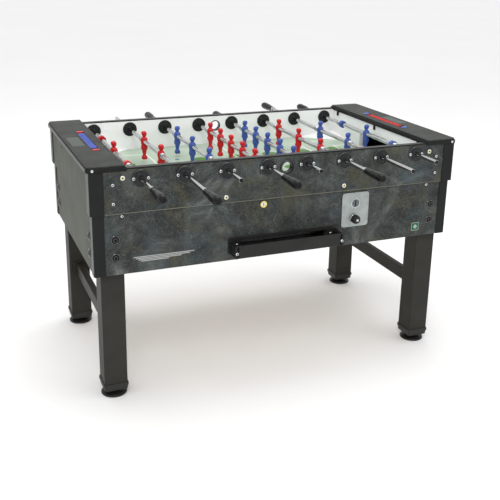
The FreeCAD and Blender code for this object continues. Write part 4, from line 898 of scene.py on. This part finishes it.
def figure_shapes():
    """A generic player facing +X: head with cap of hair, trunk, arms, and legs moulded together."""
    head = [oval(*row) for row in ((1.2, 1.2, 38.9), (5.0, 4.8, 38.2), (8.0, 7.4, 36.0), (9.6, 8.8, 32.4),
                                   (9.9, 9.0, 29.0, 0.1),
            (9.5, 8.6, 25.4, 0.4), (7.9, 7.4, 22.0, 0.8), (5.9, 5.9, 19.6, 0.4), (5.2, 5.3, 17.0),
            (6.0, 7.2, 14.6))]
    trunk = [oval(*row) for row in ((5.2, 5.6, 16.6), (7.8, 9.8, 15.2), (10.8, 12.6, 11.4),
                                    (12.4, 13.0, 6.0, 0.2),
             (12.8, 13.0, 0.0, 0.3), (11.9, 12.2, -6.5), (10.2, 10.8, -12.5), (9.9, 10.4, -16.0),
             (11.0, 11.4, -20.5), (11.7, 11.9, -25.0, 0, 16, 0.2), (11.5, 11.6, -30.0, 0, 16, 0.3),
             (10.9, 10.9, -31.4, 0, 16, 0.3), (9.9, 9.9, -36.0), (8.6, 8.9, -42.0), (7.6, 8.2, -47.0, 0.5),
             (7.3, 7.9, -50.5), (6.7, 7.4, -55.0), (6.6, 7.4, -56.4), (8.0, 8.4, -58.6, 0.4, 16, 0.5),
             (9.5, 9.4, -62.0, 0.3, 16, 0.8), (10.1, 9.9, -66.5, 0, 16, 0.9), (9.8, 9.6, -70.5, 0, 16, 0.9),
             (8.6, 8.8, -73.9, 0, 16, 0.9))]
    hair = [oval(*row) for row in ((1.5, 1.5, 39.0, -0.8), (6.0, 5.6, 38.1, -0.9), (8.9, 8.2, 35.4, -1.0),
                                   (9.9, 9.2, 32.6, -1.0),
            (9.3, 8.7, 31.6, -1.0))]
    arms = []
    for side in (-1, 1):
        joints = ((-0.5, 12.0, 12.6, 3.0), (0.0, 12.8, 9.8, 4.6), (1.0, 12.8, 2.0, 4.6),
                  (2.2, 12.0, -6.0, 4.2),
                  (4.2, 11.0, -12.0, 3.9), (6.2, 10.0, -18.0, 3.7), (7.2, 9.4, -22.5, 3.2),
                  (7.4, 9.4, -24.4, 1.6))
        arms.append(loft([[(x + r * math.cos(a), side * y + r * math.sin(a), z)
                           for a in (2 * math.pi * s / 10 for s in range(10))] for x, y, z, r in joints]))
    # The head stands a little wider and the trunk fuller than the rows above give.
    head = [[(x * 1.08, y * 1.08, 29 + (z - 29) * 1.04) for x, y, z in ring] for ring in head]
    trunk = [[(x * 1.14, y * 1.06, z) for x, y, z in ring] if ring[0][2] > -34 else ring for ring in trunk]
    hair = [[(x * 1.08, y * 1.08, 29 + (z - 29) * 1.02) for x, y, z in ring] for ring in hair]
    return [loft(head), loft(trunk), loft(hair)] + arms


def make_rods():
    shapes = figure_shapes()
    counts = (1, 2, 3, 5, 5, 3, 2, 1)
    pitch = {1: 0, 2: 237, 3: 193, 5: 119}
    collar = [(15, -8.6), (15, 8.6), (14.2, 9.0), (8.1, 9.0), (8.1, -9.0), (14.2, -9.0)]
    for rod, count in zip(RODS, counts):
        k, x = rod["number"], rod["x"]
        body = f"rod_{k}"
        finish, slot = TEAM[k]
        men_low, men_high = span(f"men_{k}")
        centre = (men_low.y + men_high.y) / 2
        tube_low, tube_high = span(f"rod_{k}")
        tube = Piece(f"rod_tube_{k}", body, "rod_chrome", CHROME, RECESS_SHADE)
        length = tube_high.y - tube_low.y
        tube.add(lathe([(8, 0.5), (8, length - 0.5), (7.6, length), (5.6, length), (5.5, length - 9),
                        (5.5, 9), (5.6, 0), (7.6, 0)],
                       36, True), at(x, tube_low.y, ROD_Z, "y"))
        tube.done(body)
        facing = 0 if rod["near"] else 180
        men = Piece(f"players_{k}", body, slot, finish)
        spots = [centre + (i - (count - 1) / 2) * pitch[count] for i in range(count)]
        for y in spots:
            for shape in shapes:
                men.add(shape, at(x, y, ROD_Z, "z", facing))
        men.done(f"men_{k}", crease=75, smooth_levels=1)
        pins = Piece(f"player_pins_{k}", body, "zinc_steel", ZINC, RECESS_SHADE)
        way, back = ("-x", -12.4) if rod["near"] else ("x", 12.4)
        for y in spots:
            pins.add(lathe([(2.6, -1.5), (2.6, 0.2), (2.1, 0.5), (1.3, 0.5), (1.1, 0), (0.05, 0)], 20),
                     at(x + back, y, ROD_Z, way))
        pins.done()
        if count == 1:
            stops = Piece(f"stop_collars_{k}", body, slot, finish)
            for side in (-1, 1):
                stops.add(lathe(collar, 40, True), at(x, centre + side * 205, ROD_Z, "y"))
                grub = lathe([(2.4, 0), (2.4, 1.0), (0.05, 1.0)], 16)
                stops.add(grub, at(x, centre + side * 205, ROD_Z + 14.4, "z"))
            stops.done()
        make_springs(k, x)
        make_grip(k, x, rod["near"])


def make_springs(k, x):
    """A coil spring with a washer at each end, either side of the figures."""
    low, high = span(f"buffers_{k}")
    piece = Piece(f"bumper_springs_{k}", f"rod_{k}_slide", "spring_steel", SPRING)
    washer = [(10.8, 0), (10.8, 1.5), (8.2, 1.5), (8.2, 0)]
    for start in (low.y, high.y - 22):
        for offset in (0.2, 20.3):
            piece.add(lathe(washer, 36, True), at(x, start + offset, ROD_Z, "y"))
        turns, steps = 6, 20
        path = [(x + 9.6 * math.cos(2 * math.pi * i / steps), start + 2.9 + 16.2 * i / (turns * steps),
                 ROD_Z + 9.6 * math.sin(2 * math.pi * i / steps)) for i in range(turns * steps + 1)]
        piece.add(wire(path, 1.15))
    piece.done(f"buffers_{k}", weighted=False)


def make_grip(k, x, near):
    low, high = span(f"grip_{k}")
    start = (low.y + 130) if near else (high.y - 130)
    way, back = ("-y", "y") if near else ("y", "-y")
    bare = high.y if near else low.y
    handle = Piece(f"handle_{k}", f"rod_{k}", "grip_rubber", GRIP, CHROME, RECESS_SHADE)
    where = at(x, start, ROD_Z, way)
    ferrule = [(8.1, 0), (9.4, 0), (9.9, 0.6), (9.9, 11.5), (9.4, 12.4), (10.2, 13.0), (10.2, 14.6),
               (8.1, 14.6)]
    handle.add(lathe(ferrule, 36, True), where, 1)
    profile = [(8.1, 14.0), (10.6, 14.0), (11.2, 15.4), (11.3, 22.0), (11.8, 34.0), (12.8, 50.0),
               (14.1, 68.0), (15.2, 84.0),
               (15.9, 98.0), (15.9, 108.0), (15.2, 114.5), (14.6, 115.6), (14.6, 117.0), (14.3, 119.0),
               (13.0, 123.6),
               (10.6, 127.4), (7.6, 129.5), (5.6, 129.9), (5.2, 128.6), (0.05, 128.4)]
    handle.add(lathe(profile, 48), where)
    for i in range(6):
        a = 60 * i
        fin = soft_block((13.2, -1.7, 58), (15.2, 1.7, 104), 0.9)
        lean = Matrix.Rotation(math.radians(a), 4, "Z") @ Matrix.Rotation(math.radians(-0.2), 4, "Y")
        handle.add(fin, where @ lean)
    # A disc of painted shade in the hollow at the end of the handle.
    handle.add(lathe([(5.0, 128.2), (5.0, 128.8), (0.05, 128.9)], 28), where, 2)
    cap = lathe([(5.3, -8.0), (5.4, 0), (7.0, 0.0), (7.2, 0.7), (6.4, 1.9), (4.4, 2.7), (3.4, 2.2),
                 (0.05, 2.2)], 36)
    handle.add(cap, at(x, bare - (3 if near else -3), ROD_Z, back), 0)
    handle.done(f"grip_{k}")


# ------------------------------------------------------------------ legs

def make_legs():
    tubes = Piece("leg_tubes", "base", "brown_steel", LEG, RECESS_SHADE)
    bore = LEG_SIZE - 2 * LEG_WALL
    tube = plate(rounded(LEG_SIZE, LEG_SIZE, 4.5), LEG_HIGH.z - LEG_LOW.z, 0.8, [rounded(bore, bore, 2.5)])
    for sx in (-1, 1):
        for sy in (-1, 1):
            tubes.add(tube, at(sx * LEG_X, sy * LEG_Y, LEG_LOW.z))
        reach = LEG_Y - LEG_SIZE / 2
        x = sx * LEG_X
        tubes.add(loft([[(x + px, y, 250 + pz) for px, pz, _ in rounded(25, 50, 2.4)] for y in (-reach + 3,
                reach - 3)]))
        for side in (-1, 1):
            face = side * reach
            tubes.add(soft_block((x - 24.5, min(face, face - side * 4), 219),
                                 (x + 24.5, max(face, face - side * 4), 281), 0.9, 3))
            for dx, z in ((-18.5, 226), (18.5, 226), (-18.5, 274), (18.5, 274)):
                tubes.add(lathe([(4, 0), (4, 1.4), (2.6, 2.4), (0.05, 2.6)], 20),
                          at(x + dx, face - side * 4, z, outward(-side)))
    tubes.done("leg_frames")

    boots = Piece("leg_boot_set", "base", "black_moulding", BOOT)
    feet = Piece("levelling_foot_set", "base", "black_moulding", MOULDING, ZINC)
    stack = [(70, 8, 22.2), (74, 8, 22.2), (78, 8, 24.5), (82.5, 7, 31), (84.6, 6.5, 37), (85, 6.5, 39.6),
             (88.2, 7, 40.6), (89, 7, 42),
             (89, 7, 50.2), (87.8, 6.6, 51.7), (84, 6, 52), (82.4, 5, 51.4), (82.4, 5, 40), (70, 5, 30)]
    shell = loft([rounded(size, size, radius, z, 5) for size, radius, z in stack], True)
    pad = [(0.05, 0), (43, 0), (45.2, 0.8), (46, 2.6), (45.8, 5.2), (44.6, 7.2), (42, 8.4), (36, 9.6),
           (28, 11.2), (21.5, 13.0),
           (17.5, 15.2), (16.8, 17.0), (16.8, 21.8), (7, 21.9), (7, 23.5), (0.05, 23.5)]
    for sx in (-1, 1):
        for sy in (-1, 1):
            boots.add(shell, at(sx * LEG_X, sy * LEG_Y, 0))
            feet.add(lathe(pad, 56), at(sx * LEG_X, sy * LEG_Y, 0))
    boots.done("leg_boots")
    feet.done("levelling_feet")


# ------------------------------------------------------------------ front fittings

def make_tray():
    """A folded sheet gutter with moulded end blocks and a flange against the panel."""
    low, high = span("ball_tray")
    panel = -LOWER_HIGH.y
    out = low.y
    base, top = low.z, high.z
    lip = base + 49
    section = [(panel, base), (out + 5, base), (out + 1.6, base + 1.6), (out, base + 6), (out, lip - 3),
               (out + 0.6, lip - 0.8),
               (out + 2.2, lip), (out + 3.6, lip - 0.6), (out + 3.4, base + 6), (out + 5.4, base + 3.4),
               (panel - 3, base + 3.2),
               (panel, base + 3.2)]
    piece = Piece("ball_gutter", "base", "black_steel", SHEET, MOULDING)
    piece.add(strip(section, -203, 203))
    hole = [(-170, base + 3.6, 0), (170, base + 3.6, 0), (170, lip - 0.4, 0), (-170, lip - 0.4, 0)]
    mid_x, mid_z = (low.x + high.x) / 2, (base + top) / 2
    back = [(x + mid_x, z + mid_z, 0) for x, z, _ in rounded(high.x - low.x, top - base, 8)]
    piece.add(plate(back, 3, 0.5, [hole]), at(0, panel, 0, "-y"))
    for side in (-1, 1):
        centre, middle = side * 204, (base + lip) / 2
        rings = []
        for y, inset in ((panel, 0), (out + 2.0, 0), (out + 0.6, 0.6), (out, 2.0)):
            ring = rounded(16 - 2 * inset, 49 - 2 * inset, 7.6 - inset, 0, 6)
            rings.append([(centre + x, y, middle + z) for x, z, _ in ring])
        piece.add(loft(rings), part=1)
    piece.done("ball_tray")


def make_coin_unit():
    low, high = span("coin_unit")
    panel = -LOWER_HIGH.y
    x, z = (low.x + high.x) / 2, (low.z + high.z) / 2
    width, height = high.x - low.x, high.z - low.z
    where = at(x, panel, z, "-y")
    piece = Piece("coin_plate", "base", "brushed_plate", COIN_PLATE, RECESS_SHADE, SLOT, MOULDING, CHROME)
    disc_z = 24
    shaft = shift(round_outline(6), 0, -KNOB_DROP)
    piece.add(plate(rounded(width, height, 12, 0, 6), 4.0, 1.6, [shift(round_outline(16.2), 0, disc_z),
                                                                 shaft], 3), where)
    ring = [(16.3, 0.2), (18.6, 3.0), (18.8, 4.2), (17.6, 5.0), (15.6, 5.0), (14.9, 4.2), (14.9, 0.2)]
    piece.add(lathe(ring, 48, True), where @ Matrix.Translation((0, disc_z, 0)), 4)
    slot_hole = rounded(3.6, 23, 1.6)
    piece.add(plate(round_outline(15.2, 40), 4.2, 0.7, [slot_hole]),
              where @ Matrix.Translation((0, disc_z, 0.1)), 2)
    # A disc of painted shade behind the coin slot.
    piece.add(plate(round_outline(12, 24), 0.6, 0.1), where @ Matrix.Translation((0, disc_z, 0.1)), 1)
    body = soft_block((x - 40, panel + 0.4, z - 50), (x + 40, panel + 62, z + 50), 2.5)
    piece.add(body, part=3)
    piece.done("coin_unit")

    knob = Piece("coin_turn_knob", "coin_knob", "chrome", MOULDING, CHROME, ZINC)
    where = at(x, panel - 4.3, z - KNOB_DROP, "-y")
    knob.add(lathe([(20, 0.2), (20, 2.4), (18.9, 3.6), (17.4, 3.6), (16.6, 2.6), (15.4, 2.6), (5.2, 2.6),
                    (5.2, 0.2)], 48, True), where, 1)
    knob.add(lathe([(5.0, 0), (15.0, 1.0), (16.6, 3.0), (16.9, 8.0), (16.4, 12.5), (14.6, 16.6),
                    (11.6, 19.2), (8.4, 20.2),
                    (0.05, 20.4)], 48), where)
    wing = [[(px * s, py * t, h) for px, py, _ in rounded(9, 33, 4, 0, 5)]
            for h, s, t in ((12, 1.0, 0.98), (15, 0.98, 0.94), (18.4, 0.86, 0.80), (20.6, 0.7, 0.62),
                            (21.4, 0.4, 0.44))]
    knob.add(loft(wing), where)
    knob.add(lathe([(5.2, 18.0), (5.2, 21.2), (4.2, 21.9), (0.05, 21.9)], 28), where, 1)
    knob.add(lathe([(5, -90), (5, 0.5), (0.05, 0.5)], 24), where, 2)
    knob.add(soft_block((-6, -5, -72.4), (34, 5, -67.4), 1.0), where, 2)
    knob.done("coin_knob")


def make_lock():
    low, high = span("cabinet_lock")
    where = at(LOCK_X, -LOWER_HIGH.y, (low.z + high.z) / 2, "-y")
    lock = Piece("cam_lock", "cabinet_lock", "brass", BRASS, RECESS_SHADE, ZINC)
    lock.add(lathe([(9.9, -0.3), (13, 0.3), (13, 1.5), (12, 2.8), (10.4, 3.2), (8.7, 2.6), (8.5, 1.4),
                    (7.6, 1.4), (0.05, 1.4)], 44), where)
    lock.add(lathe([(7.2, 1.2), (7.2, 2.0), (6.8, 2.3), (0.05, 2.3)], 36), where, 2)
    # A bar of painted shade stands for the keyway.
    lock.add(soft_block((-1.3, -4.8, 1.8), (1.3, 4.8, 2.45), 0.2), where, 1)
    lock.add(lathe([(9.9, -33.5), (9.9, 0.5), (0.05, 0.5)], 36), where, 2)
    lock.add(soft_block((-6, -6, -36), (26, 6, -33), 0.7), where, 2)
    lock.done("cabinet_lock")


# ------------------------------------------------------------------ stage

def make_stage():
    floor = Finish("studio_floor", Roughness=0.85)
    floor.feed("Base Color", floor.use(TINT, Scale=0.6, Base=(0.95, 0.95, 0.95, 1),
                                       Dark=(0.94, 0.94, 0.94, 1),
                                       Light=(0.96, 0.96, 0.96, 1))["Colour"])
    mesh = bpy.data.meshes.new("floor")
    reach = 30
    mesh.from_pydata([(-reach, -reach, 0), (reach, -reach, 0), (reach, reach, 0), (-reach, reach, 0)], [],
                     [(0, 1, 2, 3)])
    mesh.materials.append(floor.material)
    ground = bpy.data.objects.new("floor", mesh)
    link(ground)
    world = bpy.data.worlds.new("studio")
    world.use_nodes = True
    sky = world.node_tree.nodes["Background"]
    sky.inputs["Color"].default_value = (1, 1, 1, 1)
    sky.inputs["Strength"].default_value = 0.95
    bpy.context.scene.world = world
    for name, place, aim, size, power in (
            ("key_light", (-1.6, -3.6, 4.2), (0, 0, 0.6), 1.6, 60),
            ("fill_light", (3.6, -2.6, 2.4), (0, 0, 0.6), 2.4, 15),
            ("top_light", (0.2, 0.6, 4.2), (0, 0, 0.7), 2.4, 60)):
        lamp = bpy.data.lights.new(name, "AREA")
        lamp.size, lamp.energy = size, power
        holder = bpy.data.objects.new(name, lamp)
        holder.location = place
        holder.rotation_euler = (Vector(aim) - Vector(place)).to_track_quat("-Z", "Y").to_euler()
        link(holder)
    bpy.context.scene.view_settings.view_transform = "Standard"


def make_camera():
    azimuth, elevation, roll = math.radians(22.51), math.radians(17.12), math.radians(1.05)
    ahead = Vector((math.sin(azimuth) * math.cos(elevation), math.cos(azimuth) * math.cos(elevation),
                    -math.sin(elevation)))
    right = Vector((math.cos(azimuth), -math.sin(azimuth), 0))
    up = right.cross(ahead)
    right, up = (math.cos(roll) * right + math.sin(roll) * up), (-math.sin(roll) * right + math.cos(roll) * up)
    camera = bpy.data.cameras.new("camera")
    camera.sensor_width = 36
    camera.lens = 57.6
    camera.shift_y = -0.10
    camera.clip_end = 100
    holder = bpy.data.objects.new("camera", camera)
    turn = Matrix((right, up, -ahead)).transposed().to_4x4()
    holder.matrix_world = Matrix.Translation((-1.154, -2.831, 1.503)) @ turn
    link(holder)
    bpy.context.scene.camera = holder


make_play_box_screws()
make_base_screws()
make_leg_bolts()
make_corner_profiles()
make_edge_trim()
make_marks()
make_boards()
make_bearings()
make_rods()
make_legs()
make_tray()
make_coin_unit()
make_lock()
make_stage()
make_camera()
